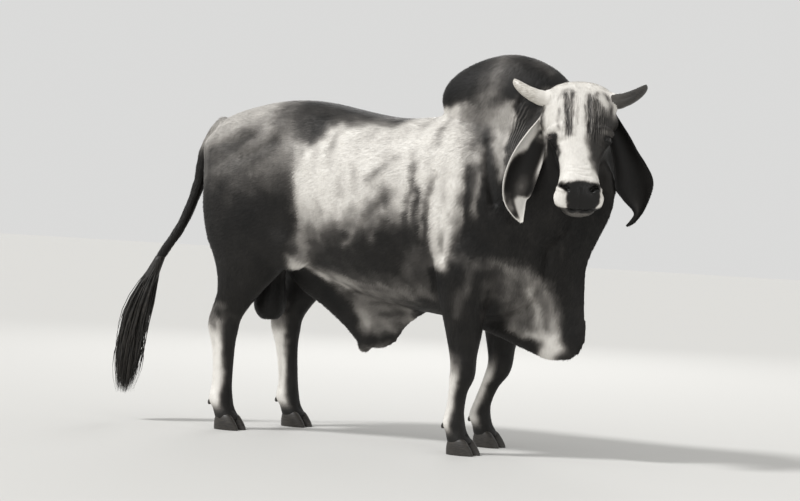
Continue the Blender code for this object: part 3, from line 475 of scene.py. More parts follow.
# %% Masses of the body
def trunk_masses():
    """Barrel, loin, rump and chest as one loft, with the bones that show."""
    rows = [
        (-1.075, 0.06, 1.3, 1.17, 1.23), (-1.04, 0.135, 1.39, 1.03, 1.21),
        (-0.96, 0.22, 1.47, 0.9, 1.18), (-0.82, 0.27, 1.515, 0.8, 1.16),
        (-0.62, 0.295, 1.55, 0.765, 1.14), (-0.42, 0.31, 1.545, 0.745, 1.1),
        (-0.2, 0.342, 1.505, 0.68, 1.04), (0.0, 0.36, 1.478, 0.63, 1.0),
        (0.2, 0.348, 1.488, 0.6, 0.98), (0.4, 0.312, 1.5, 0.585, 0.98),
        (0.58, 0.265, 1.49, 0.6, 1.0), (0.72, 0.195, 1.42, 0.66, 1.02), (0.8, 0.1, 1.28, 0.8, 1.04),
    ]
    full = [(x, 0, wide, 0, 0, w, top - wide, wide - low, 2.15, 2.1)
            for x, w, top, low, wide in rows]
    return [tube(full), egg((-0.99, 0, 1.42), (0.11, 0.06, 0.05))]


def hump_mass():
    """The tall hump over the withers, leaning back over the chine."""
    rows = [
        (0.222, 1.56, 0.02, 0.02, 0.02, 2), (0.236, 1.56, 0.085, 0.07, 0.05, 2),
        (0.28, 1.54, 0.122, 0.14, 0.075, 2.1), (0.365, 1.505, 0.145, 0.224, 0.13, 2.2),
        (0.48, 1.49, 0.15, 0.275, 0.16, 2.2), (0.58, 1.48, 0.148, 0.293, 0.18, 2.2),
        (0.7, 1.46, 0.138, 0.284, 0.18, 2.2), (0.8, 1.45, 0.116, 0.24, 0.18, 2.1),
        (0.87, 1.45, 0.08, 0.165, 0.15, 2), (0.905, 1.45, 0.025, 0.06, 0.06, 2),
    ]
    return [tube([(x, 0, z, 0, 0, w, high, low, square, 2) for x, z, w, high, low, square in rows])]


def neck_mass():
    rows = [
        (0.42, 0.0, 1.12, 0, 10, 0.245, 0.33, 0.38), (0.58, 0.0, 1.18, -3, 25, 0.215, 0.31, 0.36),
        (0.72, -0.008, 1.26, -10, 33, 0.192, 0.275, 0.325),
        (0.84, -0.028, 1.36, -25, 35, 0.168, 0.225, 0.265),
        (0.92, -0.07, 1.425, -42, 28, 0.152, 0.18, 0.22),
        (0.975, -0.125, 1.44, -55, 10, 0.128, 0.13, 0.17),
    ]
    behind_jaw = egg((0.975, 0.03, 1.29), (0.1, 0.092, 0.155), (0.5, -0.8, 0.1))
    return [tube(rows), behind_jaw]


def dewlap_mass():
    """The hanging fold of skin from the throat to between the forelegs."""
    rows = [
        (1.33, 0.84, 1.06, -0.05, 0.066), (1.22, 0.78, 1.11, -0.026, 0.074),
        (1.1, 0.72, 1.095, -0.015, 0.066), (1.0, 0.68, 1.05, -0.006, 0.058),
        (0.88, 0.64, 0.985, 0.0, 0.052), (0.76, 0.56, 0.97, 0.004, 0.05),
        (0.64, 0.42, 0.975, 0.002, 0.052), (0.56, 0.42, 0.984, -0.002, 0.054),
        (0.51, 0.56, 0.975, -0.002, 0.046), (0.462, 0.7, 0.945, 0.0, 0.034),
        (0.43, 0.79, 0.89, 0.0, 0.014),
    ]
    return [slab(rows)]


def sheath_mass():
    rows = [
        (0.79, -0.64, 0.33, 0.0, 0.12), (0.72, -0.6, 0.33, 0.0, 0.1), (0.66, -0.53, 0.3, 0.0, 0.08),
        (0.62, -0.45, 0.2, 0.0, 0.068), (0.57, -0.37, 0.11, 0.0, 0.052),
        (0.52, -0.3, 0.048, 0.0, 0.044), (0.475, -0.245, 0.015, 0.0, 0.04),
        (0.445, -0.215, -0.01, 0.0, 0.034), (0.425, -0.19, -0.06, 0.0, 0.022),
    ]
    return [slab(rows), egg((-0.165, 0, 0.44), (0.05, 0.036, 0.034), (-0.4, 0, -1))]


def scrotum_mass():
    rows = [
        (-0.7, 0, 0.86, 0, -90, 0.075, 0.08, 0.08), (-0.705, 0, 0.76, 0, -90, 0.058, 0.06, 0.06),
        (-0.715, 0, 0.68, 0, -90, 0.07, 0.068, 0.068),
        (-0.718, 0, 0.61, 0, -90, 0.084, 0.074, 0.074),
        (-0.718, 0, 0.555, 0, -90, 0.076, 0.068, 0.068),
        (-0.718, 0, 0.515, 0, -90, 0.042, 0.04, 0.04),
    ]
    return [tube(rows)]


for mass in (trunk_masses, hump_mass, neck_mass, dewlap_mass, sheath_mass, scrotum_mass):
    print(mass.__name__, [len(verts) for verts, _ in mass()], "points")

# %% [markdown]
# Four legs from two recipes. A row gives height, place and the widths of one section, so
# knee, cannon, fetlock and pastern are read straight from the list. The near feet stand a
# little apart from the far ones, as in the photograph.

# %% Masses of the legs
FEET = {        # where each foot stands (x, y), and how far forward of it the knee or hock is
    "foreleg_right": (0.48, -0.2, 0.022),
    "foreleg_left": (0.37, 0.205, 0.085),
    "hindleg_right": (-0.795, -0.205, 0.0),
    "hindleg_left": (-0.705, 0.205, -0.022),
}
# Sections down a leg: height, how far forward, how far outward, half width, front, rear.
FORELEG = [
    (0.98, 0.04, -0.01, 0.09, 0.15, 0.13), (0.82, 0.025, 0.01, 0.104, 0.14, 0.14),
    (0.72, 0.005, 0.012, 0.098, 0.122, 0.13), (0.62, 0.0, 0.006, 0.082, 0.1, 0.104),
    (0.52, 0.0, 0.002, 0.068, 0.084, 0.08), (0.44, 0.0, 0.0, 0.058, 0.066, 0.062),
    (0.385, 0.002, 0.0, 0.057, 0.062, 0.054), (0.33, 0.002, 0.0, 0.054, 0.06, 0.052),
    (0.278, -0.002, 0.0, 0.041, 0.042, 0.046), (0.195, -0.004, 0.0, 0.039, 0.039, 0.046),
    (0.138, -0.006, 0.0, 0.049, 0.047, 0.056), (0.095, 0.008, 0.0, 0.048, 0.046, 0.05),
    (0.064, 0.022, 0.0, 0.057, 0.057, 0.057), (0.04, 0.028, 0.0, 0.054, 0.052, 0.052),
]
HINDLEG = [
    (1.22, 0.07, -0.03, 0.12, 0.23, 0.23), (1.08, 0.075, -0.01, 0.13, 0.28, 0.24),
    (0.96, 0.085, 0.0, 0.128, 0.29, 0.225), (0.86, 0.1, 0.008, 0.116, 0.275, 0.205),
    (0.76, 0.1, 0.008, 0.1, 0.205, 0.165), (0.67, 0.06, 0.002, 0.082, 0.14, 0.115),
    (0.59, 0.01, -0.004, 0.067, 0.108, 0.088), (0.515, -0.025, -0.004, 0.059, 0.086, 0.082),
    (0.465, -0.028, -0.002, 0.058, 0.078, 0.08), (0.41, -0.025, 0.0, 0.051, 0.064, 0.062),
    (0.33, -0.02, 0.0, 0.044, 0.053, 0.053), (0.21, -0.02, 0.0, 0.042, 0.049, 0.053),
    (0.145, -0.022, 0.0, 0.052, 0.055, 0.062), (0.095, -0.004, 0.0, 0.05, 0.05, 0.054),
    (0.064, 0.012, 0.0, 0.057, 0.058, 0.057), (0.04, 0.018, 0.0, 0.054, 0.052, 0.052),
]


def set_forward(z, amount):
    """Share of the leg's lean at a height: none at the pastern, all above the knee."""
    return amount * smoothstep(min(max((z - 0.15) / 0.27, 0.0), 1.0))


def leg_mass(name):
    """A leg from the foot's place up into the trunk; the hind one with its fold of the flank."""
    fx, fy, ahead = FEET[name]
    side = math.copysign(1.0, fy)
    fore = name.startswith("fore")
    sections, behind, count = (FORELEG, 0.02, 20) if fore else (HINDLEG, 0.01, 24)
    rows = [(fx - behind + dx + set_forward(z, ahead), fy + side * dy, z, 0, -90, w, front, rear)
            for z, dx, dy, w, front, rear in sections]
    leg = tube(rows, steps=2, count=count)
    fold = egg((fx + 0.345, fy + side * 0.035, 0.87), (0.15, 0.05, 0.12), (1, 0, -0.25))
    return [leg] if fore else [leg, fold]


print("masses of the legs:", {name: len(leg_mass(name)) for name in FEET})

# %% [markdown]
# The head gets the most sections: a long narrow face with a rounded forehead, a broad
# muzzle, cheeks, brows over the eyes and a base under each horn. Its lofts run down the line
# of the face and not along the body, so that they turn with it.

# %% Masses of the head
def head_masses():
    """Skull, face, jaw and muzzle as lofts down the face line, with cheeks and brows."""
    def along_head(rows, steps=3):
        rings = []
        for h, w, top, low, n_up, n_down in through(rows, steps):
            mid = (top + low) / 2
            rings.append(ring(head_point(h, 0, mid), HEAD_LEFT, HEAD_OUT, max(w, 0.004),
                              top - mid, mid - low, n_up, n_down))
        return closed_loft(rings)

    skull = along_head([
        (-0.048, 0.05, -0.065, -0.12, 2, 2), (-0.03, 0.105, -0.026, -0.16, 2.2, 2),
        (0.0, 0.14, -0.006, -0.19, 2.3, 2), (0.06, 0.153, 0.004, -0.215, 2.4, 2),
        (0.13, 0.148, 0.008, -0.225, 2.3, 2), (0.2, 0.13, 0.006, -0.22, 2.2, 2),
        (0.27, 0.108, 0.0, -0.2, 2.2, 2), (0.35, 0.088, -0.006, -0.17, 2.3, 2),
        (0.42, 0.086, -0.01, -0.15, 2.4, 2.2), (0.47, 0.1, -0.018, -0.142, 2.4, 2.3),
        (0.51, 0.108, -0.038, -0.138, 2.3, 2.4), (0.54, 0.098, -0.064, -0.136, 2.2, 2.4),
        (0.562, 0.058, -0.092, -0.13, 2.1, 2.2),
    ])
    jaw = along_head([
        (0.05, 0.05, -0.13, -0.2, 2, 2), (0.09, 0.088, -0.12, -0.262, 2, 2.2),
        (0.17, 0.092, -0.11, -0.28, 2, 2.2), (0.26, 0.08, -0.11, -0.262, 2, 2.2),
        (0.35, 0.064, -0.1, -0.225, 2, 2.2), (0.44, 0.06, -0.1, -0.19, 2, 2.2),
        (0.505, 0.064, -0.1, -0.18, 2, 2.2), (0.54, 0.054, -0.105, -0.172, 2, 2.2),
        (0.556, 0.026, -0.115, -0.156, 2, 2),
    ])
    # brow, cheek, base of the horn and root of the ear: place on the head and three radii
    lumps = [
        ((0.222, 0.104, -0.052), (0.05, 0.038, 0.038)),
        ((0.19, 0.078, -0.165), (0.115, 0.042, 0.09)),
        ((0.042, 0.138, -0.06), (0.044, 0.04, 0.038)),
        ((0.12, 0.135, -0.105), (0.045, 0.04, 0.04)),
    ]
    return [skull, jaw] + [egg(head_point(h, side * s, t), radii, HEAD_LONG, HEAD_OUT)
                           for side in (-1, 1) for (h, s, t), radii in lumps]


print("masses of the head:", len(head_masses()))

# %% [markdown]
# The masses are joined by a voxel remesh into one closed skin and evened out, which lets
# them run into each other as muscles do. Metaballs melt too, but they swell where they
# meet. Where more detail is due the faces are split: once on the neck, for its folds, and
# twice on the head.

# %% One skin from all masses
VOXEL = 0.013


def finer_where(mesh, chosen, cuts=1):
    """Split the faces whose middle is chosen; neighbours stay joined."""
    bm = bmesh.new()
    bm.from_mesh(mesh)
    centres = np.array([f.calc_center_median() for f in bm.faces])
    keep = chosen(centres)
    bm.faces.ensure_lookup_table()
    edges = {e for i in np.nonzero(keep)[0] for e in bm.faces[int(i)].edges}
    bmesh.ops.subdivide_edges(bm, edges=list(edges), cuts=cuts, use_grid_fill=True, smooth=0.0)
    bm.to_mesh(mesh)
    bm.free()


def on_head(points):
    h, s, t = head_coords(points)
    return (h > -0.1) & (np.abs(s) < 0.22) & (t > -0.3) & (t < 0.1) & (points[:, 2] > 1.0)


def on_neck(points):
    x, _, z = points.T
    return (x > 0.52) & (x < 1.05) & (z > 0.98) & (z < 1.66) & ~on_head(points)


def on_face(points):
    h, s, t = head_coords(points)
    return (h > -0.07) & (np.abs(s) < 0.175) & (t > -0.2) & (t < 0.1)


def softness(points):
    """How strongly the masses run into each other: most on the trunk, least on thin folds."""
    soft = np.clip((points[:, 2] - 0.62) / 0.22, 0.06, 1.0)
    thin_fold = (points[:, 0] > 0.6) & (np.abs(points[:, 1]) < 0.1) & (points[:, 2] < 1.25)
    soft = np.where(thin_fold, 0.25 * soft, soft)
    return np.where(on_head(points), 0.1, soft)


def joined_masses():
    pieces = (trunk_masses() + hump_mass() + neck_mass() + dewlap_mass() + sheath_mass()
              + scrotum_mass() + head_masses())
    for leg in FEET:
        pieces += leg_mass(leg)
    obj = new_object("skin", mesh_from("skin", pieces))
    mod = obj.modifiers.new("join masses", "REMESH")
    mod.mode, mod.voxel_size = "VOXEL", VOXEL
    applied(obj)
    mesh = obj.data
    points, edges = points_of(mesh), edges_of(mesh)
    points = evened(points, edges, 26, softness(points), back=0.0)
    set_points(mesh, evened(points, edges, 8, np.where(on_head(points), 0.6, 0.8)))
    return obj


skin = joined_masses()
print("skin of", len(skin.data.vertices), "points")

# %% [markdown]
# Bones, muscles, folds, veins and wrinkles are strokes: a band along a line that raises or
# presses the skin, with soft flanks. It is how clay is worked with a thumb, and it keeps
# each feature a short line of numbers that can be moved.

# %% Strokes that raise or press the skin
def away_from_line(points, line):
    """Distance of every point from a polyline."""
    line = np.array(line, float)
    best = np.full(len(points), 1e9)
    for a, b in zip(line[:-1], line[1:]):
        ab = b - a
        t = np.clip(((points - a) @ ab) / max(ab @ ab, 1e-12), 0, 1)
        best = np.minimum(best, np.linalg.norm(points - a - t[:, None] * ab, axis=1))
    return best


def stroke(line, width, height):
    """A raised (+) or pressed (-) band along a line or round one point, as a function."""
    line = through(line, 4) if len(line) > 2 else np.array([line[0], line[-1]], float)

    def heights(points):
        low = line.min(axis=0) - 3 * width
        high = line.max(axis=0) + 3 * width
        near = np.all((points > low) & (points < high), axis=1)
        out = np.zeros(len(points))
        if near.any():
            out[near] = height * hill(away_from_line(points[near], line), 0, width)
        return out
    return heights


def work(mesh, strokes):
    """Move the skin along its normals by the sum of the strokes."""
    points = points_of(mesh)
    lift = sum(heights(points) for heights in strokes)
    set_points(mesh, points + normals_of(mesh) * lift[:, None])


def mirrored(rows, place=lambda *p: p):
    """Strokes on both sides from rows of a line on the left side, its width and its height."""
    return [stroke([place(x, s * y, z) for x, y, z in line], width, height)
            for s in (-1, 1) for line, width, height in rows]


# Bones and muscles that show through the hide.
BODY_STROKES = [
    ([(0.34, 0.235, 1.4), (0.47, 0.285, 1.22), (0.61, 0.27, 1.04)], 0.095, 0.022),
    ([(0.7, 0.18, 1.01)], 0.075, 0.026),
    ([(0.39, 0.32, 0.96), (0.42, 0.31, 0.84)], 0.1, 0.018),
    ([(0.21, 0.34, 1.3), (0.2, 0.36, 1.08), (0.24, 0.33, 0.8)], 0.055, -0.014),
    ([(-0.52, 0.25, 1.45)], 0.055, 0.03),
    ([(-1.0, 0.12, 1.32)], 0.055, 0.022),
    ([(-0.32, 0.27, 1.4)], 0.09, -0.024),
    ([(-0.78, 0.255, 1.36)], 0.085, -0.014),
    ([(-0.35, 0.33, 1.02), (-0.33, 0.31, 0.88)], 0.08, -0.022),
    ([(-0.44, 0.3, 0.88)], 0.08, 0.016),
    ([(-0.94, 0.23, 1.15), (-0.88, 0.27, 0.9)], 0.06, 0.008),
]

work(skin.data, mirrored(BODY_STROKES))
print("bones and muscles:", len(BODY_STROKES), "strokes on each side")

# %% [markdown]
# Loose hide is what makes this animal: long curved folds on the side of the neck, slack
# creases behind the elbow and along the flank, hanging pleats on the dewlap and the veins
# and tendons of the legs. A bump map would be lighter, but these folds cast real shade.

# %% Folds, veins and tendons
def neck_folds():
    """Parallel folds that sweep from the crest to the throat on both sides of the neck."""
    strokes = []
    for s in (-1, 1):
        for k in range(9):
            t = k / 8
            top = (0.645 + 0.245 * t, s * (0.105 + 0.02 * t) - 0.1 * t, 1.575 - 0.01 * t)
            mid = (0.655 + 0.235 * t, s * 0.185 - 0.115 * t, 1.45 - 0.02 * t)
            low = (0.675 + 0.19 * t, s * 0.225 - 0.085 * t, 1.285 + 0.01 * t)
            end = (0.715 + 0.12 * t, s * 0.215 - 0.05 * t, 1.13 + 0.03 * t)
            strokes.append(stroke([top, mid, low, end], 0.0095, -0.0065 - 0.003 * (k % 2)))
    return strokes


# Creases round the elbow, the shoulder, the flank and the rump; then slack ripples over the
# ribs and the pleats of the dewlap.
LOOSE_HIDE = [
    ([(0.35, 0.3, 1.23), (0.345, 0.325, 1.08), (0.352, 0.325, 0.94), (0.372, 0.3, 0.8),
     (0.35, 0.24, 0.68)], 0.013, -0.014),
    ([(0.28, 0.315, 1.18), (0.31, 0.33, 1.04), (0.33, 0.325, 0.9)], 0.014, -0.008),
    ([(0.245, 0.32, 1.16), (0.25, 0.335, 1.02), (0.275, 0.33, 0.9)], 0.016, -0.006),
    ([(0.41, 0.32, 1.06), (0.425, 0.32, 0.96), (0.43, 0.315, 0.86)], 0.012, -0.009),
    ([(0.505, 0.285, 1.2), (0.505, 0.3, 1.07), (0.49, 0.3, 0.93)], 0.016, -0.01),
    ([(0.56, 0.2, 1.38), (0.585, 0.235, 1.26), (0.635, 0.25, 1.11)], 0.018, -0.01),
    ([(0.455, 0.3, 1.16), (0.465, 0.31, 1.0), (0.455, 0.31, 0.85)], 0.03, 0.008),
    ([(0.08, 0.345, 1.14), (0.02, 0.35, 1.06), (-0.06, 0.345, 0.97)], 0.02, -0.006),
    ([(0.15, 0.34, 1.13), (0.09, 0.35, 1.05), (0.02, 0.345, 0.96)], 0.018, -0.006),
    ([(-0.29, 0.3, 0.88), (-0.15, 0.31, 0.8), (0.05, 0.3, 0.74), (0.26, 0.26, 0.72)], 0.016,
     -0.006),
    ([(-0.4, 0.29, 1.15), (-0.39, 0.29, 1.0), (-0.385, 0.27, 0.85)], 0.022, -0.01),
    ([(-0.93, 0.2, 1.32), (-0.82, 0.225, 1.34), (-0.7, 0.24, 1.38)], 0.026, -0.009),
    ([(-0.73, 0.26, 1.26), (-0.62, 0.265, 1.3), (-0.54, 0.255, 1.35)], 0.024, -0.008),
]
LOOSE_HIDE += [([(-0.25 + 0.085 * k, 0.335, 1.24), (-0.25 + 0.085 * k - 0.03, 0.35, 1.08),
                 (-0.25 + 0.085 * k - 0.04, 0.335, 0.9)], 0.02, -0.0028) for k in range(7)]
LOOSE_HIDE += [([(0.9 - 0.03 * k, 0.055, 1.06 - 0.01 * k), (0.905 - 0.038 * k, 0.05, 0.84),
                 (0.9 - 0.048 * k, 0.044, 0.56)], 0.011, -0.006) for k in range(5)]
# Tendons and veins: points are (forward of the foot, sideways, share of the lean, height).
LEG_LINES = {
    "fore": [([(-0.048, 0.022, 0, 0.134)], 0.018, 0.01),
             ([(-0.044, 0.042, 0, 0.285), (-0.046, 0.042, 0, 0.16)], 0.008, -0.009),
             ([(-0.02, 0.06, 1, 0.56), (-0.03, 0.056, 0.8, 0.42)], 0.012, -0.006),
             ([(0.018, 0.052, 0.6, 0.41), (0.014, 0.052, 0.5, 0.33)], 0.014, 0.008)],
    "hind": [([(-0.06, 0.022, 0, 0.134)], 0.018, 0.01),
             ([(-0.055, 0.042, 0, 0.4), (-0.052, 0.042, 0, 0.18)], 0.008, -0.01),
             ([(-0.055, 0.04, 1, 0.64), (-0.078, 0.034, 1, 0.52)], 0.012, -0.012),
             ([(-0.02, 0.056, 1, 0.49)], 0.022, 0.005)],
}


def leg_lines():
    strokes = []
    for leg, (fx, fy, ahead) in FEET.items():
        for side in (-1, 1):
            for line, width, height in LEG_LINES[leg[:4]]:
                line = [(fx + dx + lean * ahead, fy + side * dy, z) for dx, dy, lean, z in line]
                strokes.append(stroke(line, width, height))
        # the cleft between the two claws
        strokes.append(stroke([(fx + 0.03, fy, 0.15), (fx + 0.04, fy, 0.08)], 0.006, -0.008))
    return strokes


finer_where(skin.data, on_neck, 1)
points = points_of(skin.data)
points = evened(points, edges_of(skin.data), 5, np.where(on_neck(points), 0.8, 0.0), back=0.5)
set_points(skin.data, points)
work(skin.data, neck_folds() + mirrored(LOOSE_HIDE) + leg_lines())
print("folds drawn:", len(LOOSE_HIDE), "on each side, and those of the neck")

# %% [markdown]
# The head is evened at two finer sizes before its features go in, so that lids, nostrils,
# the line of the mouth and the wrinkles of the forehead come out crisp.

# %% Features of the head
HEAD_STROKES = [     # points down the face, outward to the side, out from it
    # hollow of the eye, bone of the brow over it, hollow before it, edge of the cheek
    ([(EYE_ALONG, EYE_OUT + 0.012, EYE_DEEP + 0.012)], 0.022, -0.01),
    ([(0.2, 0.07, 0.0), (0.196, 0.108, -0.018), (0.206, 0.134, -0.05)], 0.015, 0.013),
    ([(0.258, 0.075, -0.012), (0.268, 0.105, -0.045)], 0.014, -0.007),
    ([(0.27, 0.1, -0.09), (0.39, 0.082, -0.085)], 0.016, -0.006),
    # nostril, a comma that opens to the side, and the wing that rims it
    ([(0.436, 0.052, -0.01), (0.438, 0.078, -0.03), (0.462, 0.096, -0.058)], 0.01, 0.006),
    ([(0.488, 0.066, -0.034), (0.476, 0.086, -0.046)], 0.008, 0.005),
    ([(0.482, 0.052, -0.024), (0.466, 0.066, -0.026), (0.456, 0.084, -0.042)], 0.009, -0.022),
    # line of the mouth and the lips beside it
    ([(0.4, 0.08, -0.136), (0.45, 0.096, -0.122), (0.5, 0.096, -0.104), (0.535, 0.07, -0.09),
     (0.552, 0.034, -0.084), (0.558, 0.0, -0.083)], 0.0065, -0.013),
    ([(0.44, 0.098, -0.1), (0.5, 0.098, -0.08), (0.54, 0.066, -0.072)], 0.01, 0.004),
    ([(0.45, 0.078, -0.146), (0.51, 0.064, -0.13), (0.548, 0.03, -0.11)], 0.014, 0.007),
    ([(0.47, 0.106, -0.14), (0.515, 0.098, -0.124), (0.54, 0.076, -0.108)], 0.02, -0.012),
]
PHILTRUM = [(0.48, 0.0, -0.025), (0.535, 0.0, -0.062), (0.556, 0.0, -0.08)]
# a wrinkle's tone is the painted shade in it
WRINKLES = [     # line down the face (along, left), width, depth in metres, tone
    ([(0.04, -0.066), (0.09, -0.064), (0.14, -0.061), (0.19, -0.056), (0.228, -0.056)], 0.009,
     -0.006, 0.2),
    ([(0.035, -0.038), (0.08, -0.04), (0.12, -0.033), (0.16, -0.038), (0.236, -0.045)], 0.0075,
     -0.0055, 0.26),
    ([(0.075, -0.05), (0.12, -0.049), (0.2, -0.05)], 0.005, -0.003, 0.4),
    ([(0.045, 0.036), (0.1, 0.034), (0.15, 0.037), (0.222, 0.034)], 0.0085, -0.0065, 0.14),
    ([(0.07, 0.066), (0.12, 0.069), (0.165, 0.066), (0.215, 0.072)], 0.0095, -0.0055, 0.18),
    ([(0.095, 0.018), (0.135, 0.021), (0.18, 0.018)], 0.005, -0.003, 0.5),
    ([(0.095, 0.098), (0.14, 0.094), (0.18, 0.1)], 0.008, -0.0045, 0.3),
    ([(0.11, -0.092), (0.165, -0.095), (0.21, -0.09)], 0.006, -0.0035, 0.48),
    ([(0.11, -0.012), (0.15, -0.016), (0.19, -0.012)], 0.0045, -0.0018, 0.72),
    ([(0.06, -0.094), (0.026, -0.078), (0.018, -0.052), (0.036, -0.026)], 0.0065, -0.003, 0.58),
    ([(0.06, 0.052), (0.03, 0.07), (0.026, 0.098), (0.052, 0.122)], 0.008, -0.003, 0.42),
    ([(0.04, 0.118), (0.08, 0.132), (0.12, 0.128)], 0.011, -0.003, 0.24),
]
# Lines of the lids, edge of the nose bone and edge of the cheek.
FINE_HEAD_STROKES = [
    ([(0.206, 0.066, -0.002), (0.2, 0.09, -0.012), (0.208, 0.114, -0.034)], 0.0045, -0.003),
    ([(0.278, 0.086, -0.02), (0.284, 0.108, -0.046)], 0.0045, -0.003),
    ([(0.29, 0.084, -0.03), (0.298, 0.102, -0.056)], 0.0045, -0.0025),
    ([(0.33, 0.055, -0.012), (0.41, 0.062, -0.018)], 0.01, -0.003),
    ([(0.3, 0.092, -0.1), (0.38, 0.078, -0.08), (0.44, 0.076, -0.06)], 0.006, 0.002),
]
NOSE_WRINKLES = [
    (0.378, -0.052, 0.03, -0.0016), (0.392, -0.03, 0.074, -0.0024), (0.404, -0.07, 0.058, -0.0018),
    (0.42, -0.02, 0.078, -0.0022),
]


def fine_head_strokes():
    """Wrinkles of the forehead with a ridge beside each, lids, and wrinkles across the nose."""
    p, strokes = head_point, []
    for rows, width, depth, _ in WRINKLES:
        line = [p(h, s, 0.004 - 0.9 * s * s - 0.6 * max(0.0, 0.06 - h) ** 2) for h, s in rows]
        ridge = [q + 0.014 * HEAD_LEFT for q in line]
        strokes += [stroke(line, width, depth), stroke(ridge, width, -0.5 * depth)]
    strokes += mirrored(FINE_HEAD_STROKES, head_point)
    for h, low, high, depth in NOSE_WRINKLES:
        strokes.append(stroke([p(h - 0.006, low, -0.012 - 1.6 * low * low),
                               p(h + 0.003, 0.5 * (low + high), -0.012),
                               p(h - 0.008, high, -0.012 - 1.6 * high * high)], 0.0042, depth))
    return strokes


print("strokes of the head:", len(HEAD_STROKES), "a side and", len(fine_head_strokes()), "fine")

# %% [markdown]
# The lids are drawn over the eyeball: every point of the skin near the eye is moved along
# its ray from the middle of the eyeball. Inside the almond of the opening it goes just under
# the ball, outside it lies a lid's thickness above the ball, and further out it stays.

# %% Lids
def eye_frame(side):
    """Middle of the eyeball, the way it looks, toward its front corner, and up across it."""
    outward = unit(side * HEAD_LEFT + 0.55 * HEAD_OUT)
    corner = HEAD_OUT + 0.45 * HEAD_LONG
    corner = unit(corner - outward * (corner @ outward))
    up = np.cross(outward, corner)
    up *= -np.sign(up @ HEAD_LONG)
    return head_point(EYE_ALONG, side * EYE_OUT, EYE_DEEP), outward, corner, up


def draw_lids(points):
    for side in (-1, 1):
        middle, outward, corner, up = eye_frame(side)
        rel = points - middle
        far = np.linalg.norm(rel, axis=1)
        way = rel / np.maximum(far, 1e-6)[:, None]
        u, v, w = way @ corner, way @ up, way @ outward
        arch = 1 - np.clip((u + 0.05) / 0.8, -1.2, 1.2) ** 2
        gap = np.minimum(0.36 * arch - v, v + 0.34 * arch)          # above 0 inside the opening
        lid = EYE_RADIUS + 0.0042 + 0.0016 * hill(gap, -0.12, 0.07) \
            - 0.0015 * hill(gap, -0.4, 0.07) + 0.006 * np.clip(v - 0.35, 0, 1)
        wanted = lid + (EYE_RADIUS - 0.004 - lid) * rise(gap, -0.03, 0.08)
        share = rise(w, 0.05, 0.25) * fall(far, 0.046, 0.012)
        points = points + way * ((wanted - far) * share)[:, None]
    return points


def near_eyes(points):
    return np.min([far_from(points, eye_frame(side)[0]) for side in (-1, 1)], axis=0) < 0.05


for chosen, rounds, amount in ((on_head, 16, 0.9), (on_face, 6, 0.7)):
    finer_where(skin.data, chosen, 1)
    points = points_of(skin.data)
    share = np.where(chosen(points), amount, 0.0)
    set_points(skin.data, evened(points, edges_of(skin.data), rounds, share, back=0.5))
philtrum = stroke([head_point(*q) for q in PHILTRUM], 0.005, -0.004)
for heights in mirrored(HEAD_STROKES, head_point) + [philtrum]:     # one after the other
    work(skin.data, [heights])
work(skin.data, fine_head_strokes())
finer_where(skin.data, near_eyes, 1)
set_points(skin.data, draw_lids(points_of(skin.data)))
print("skin after the head's features:", len(skin.data.vertices), "points")

# %% [markdown]
# The ears hang far below the jaw, cupped and with a small hook at the tip. Each is a thin
# folded sheet lofted along its length, from a table of its own, as the two hang differently.

# %% Ears
EAR_RIGHT = [     # how far out from the middle of the face, how far forward, height, half width
    (0.118, -0.01, 1.5, 0.03), (0.15, 0.0, 1.452, 0.036), (0.189, 0.012, 1.383, 0.05),
    (0.219, 0.022, 1.314, 0.067), (0.245, 0.034, 1.245, 0.073), (0.262, 0.044, 1.176, 0.07),
    (0.268, 0.05, 1.125, 0.055), (0.252, 0.06, 1.073, 0.034), (0.23, 0.07, 1.03, 0.007),
]
EAR_LEFT = [
    (0.118, -0.01, 1.506, 0.03), (0.144, 0.0, 1.469, 0.036), (0.185, 0.01, 1.391, 0.046),
    (0.211, 0.02, 1.331, 0.056), (0.236, 0.03, 1.271, 0.072), (0.254, 0.04, 1.211, 0.084),
    (0.264, 0.044, 1.159, 0.062), (0.27, 0.046, 1.112, 0.032), (0.264, 0.05, 1.08, 0.014),
    (0.243, 0.062, 1.052, 0.01), (0.219, 0.076, 1.034, 0.004),
]
EAR_RINGS, EAR_ACROSS = 60, 21      # sections along an ear, points across one face


def ear_loft(side, rows, along, across):
    """Long hanging ear: a cupped sheet of changing width, thick at the root, hooked at its tip."""
    path = through(rows, 24)
    path = path[np.linspace(0, len(path) - 1, along).round().astype(int)]
    share = np.linspace(0, 1, along)
    curl = np.interp(share, [0, 0.25, 0.6, 0.85, 1.0], [1.75, 1.45, 1.0, 1.15, 1.3])
    left = HEAD_LEFT * side
    base = np.array([POLL[0], POLL[1], 0.0]) - 0.06 * FACE
    up = np.array([0.0, 0.0, 1.0])
    rings = []
    for j in range(along):
        out, deep, z, half = path[j]
        mid = base + out * left + deep * FACE + z * up
        step = path[min(j + 1, along - 1)] - path[max(j - 1, 0)]
        tangent = unit(step[0] * left + step[1] * FACE + step[2] * up)
        opening = FACE - left * np.interp(share[j], [0, 0.4, 1], [0.1, 0.3, 0.45])
        opening = unit(opening - tangent * (opening @ tangent))
        width = np.cross(tangent, opening)
        radius = half / math.sin(min(curl[j], 1.57))
        thick = np.interp(share[j], [0, 0.12, 0.8, 1], [0.012, 0.007, 0.005, 0.003])
        loop = []
        angles = np.linspace(-curl[j], curl[j], across)
        for face, order in ((0.5, angles), (-0.5, angles[::-1])):
            for a in order:
                r = radius + face * thick * (0.5 if abs(a) > curl[j] - 1e-6 else 1.0)
                loop.append(mid + r * math.sin(a) * width
                            - (r * math.cos(a) - radius * math.cos(curl[j] * 0.6)) * opening)
        rings.append(np.array(loop))
    return closed_loft(rings)


print("points of the right ear:", len(ear_loft(-1, EAR_RIGHT, EAR_RINGS, EAR_ACROSS)[0]))

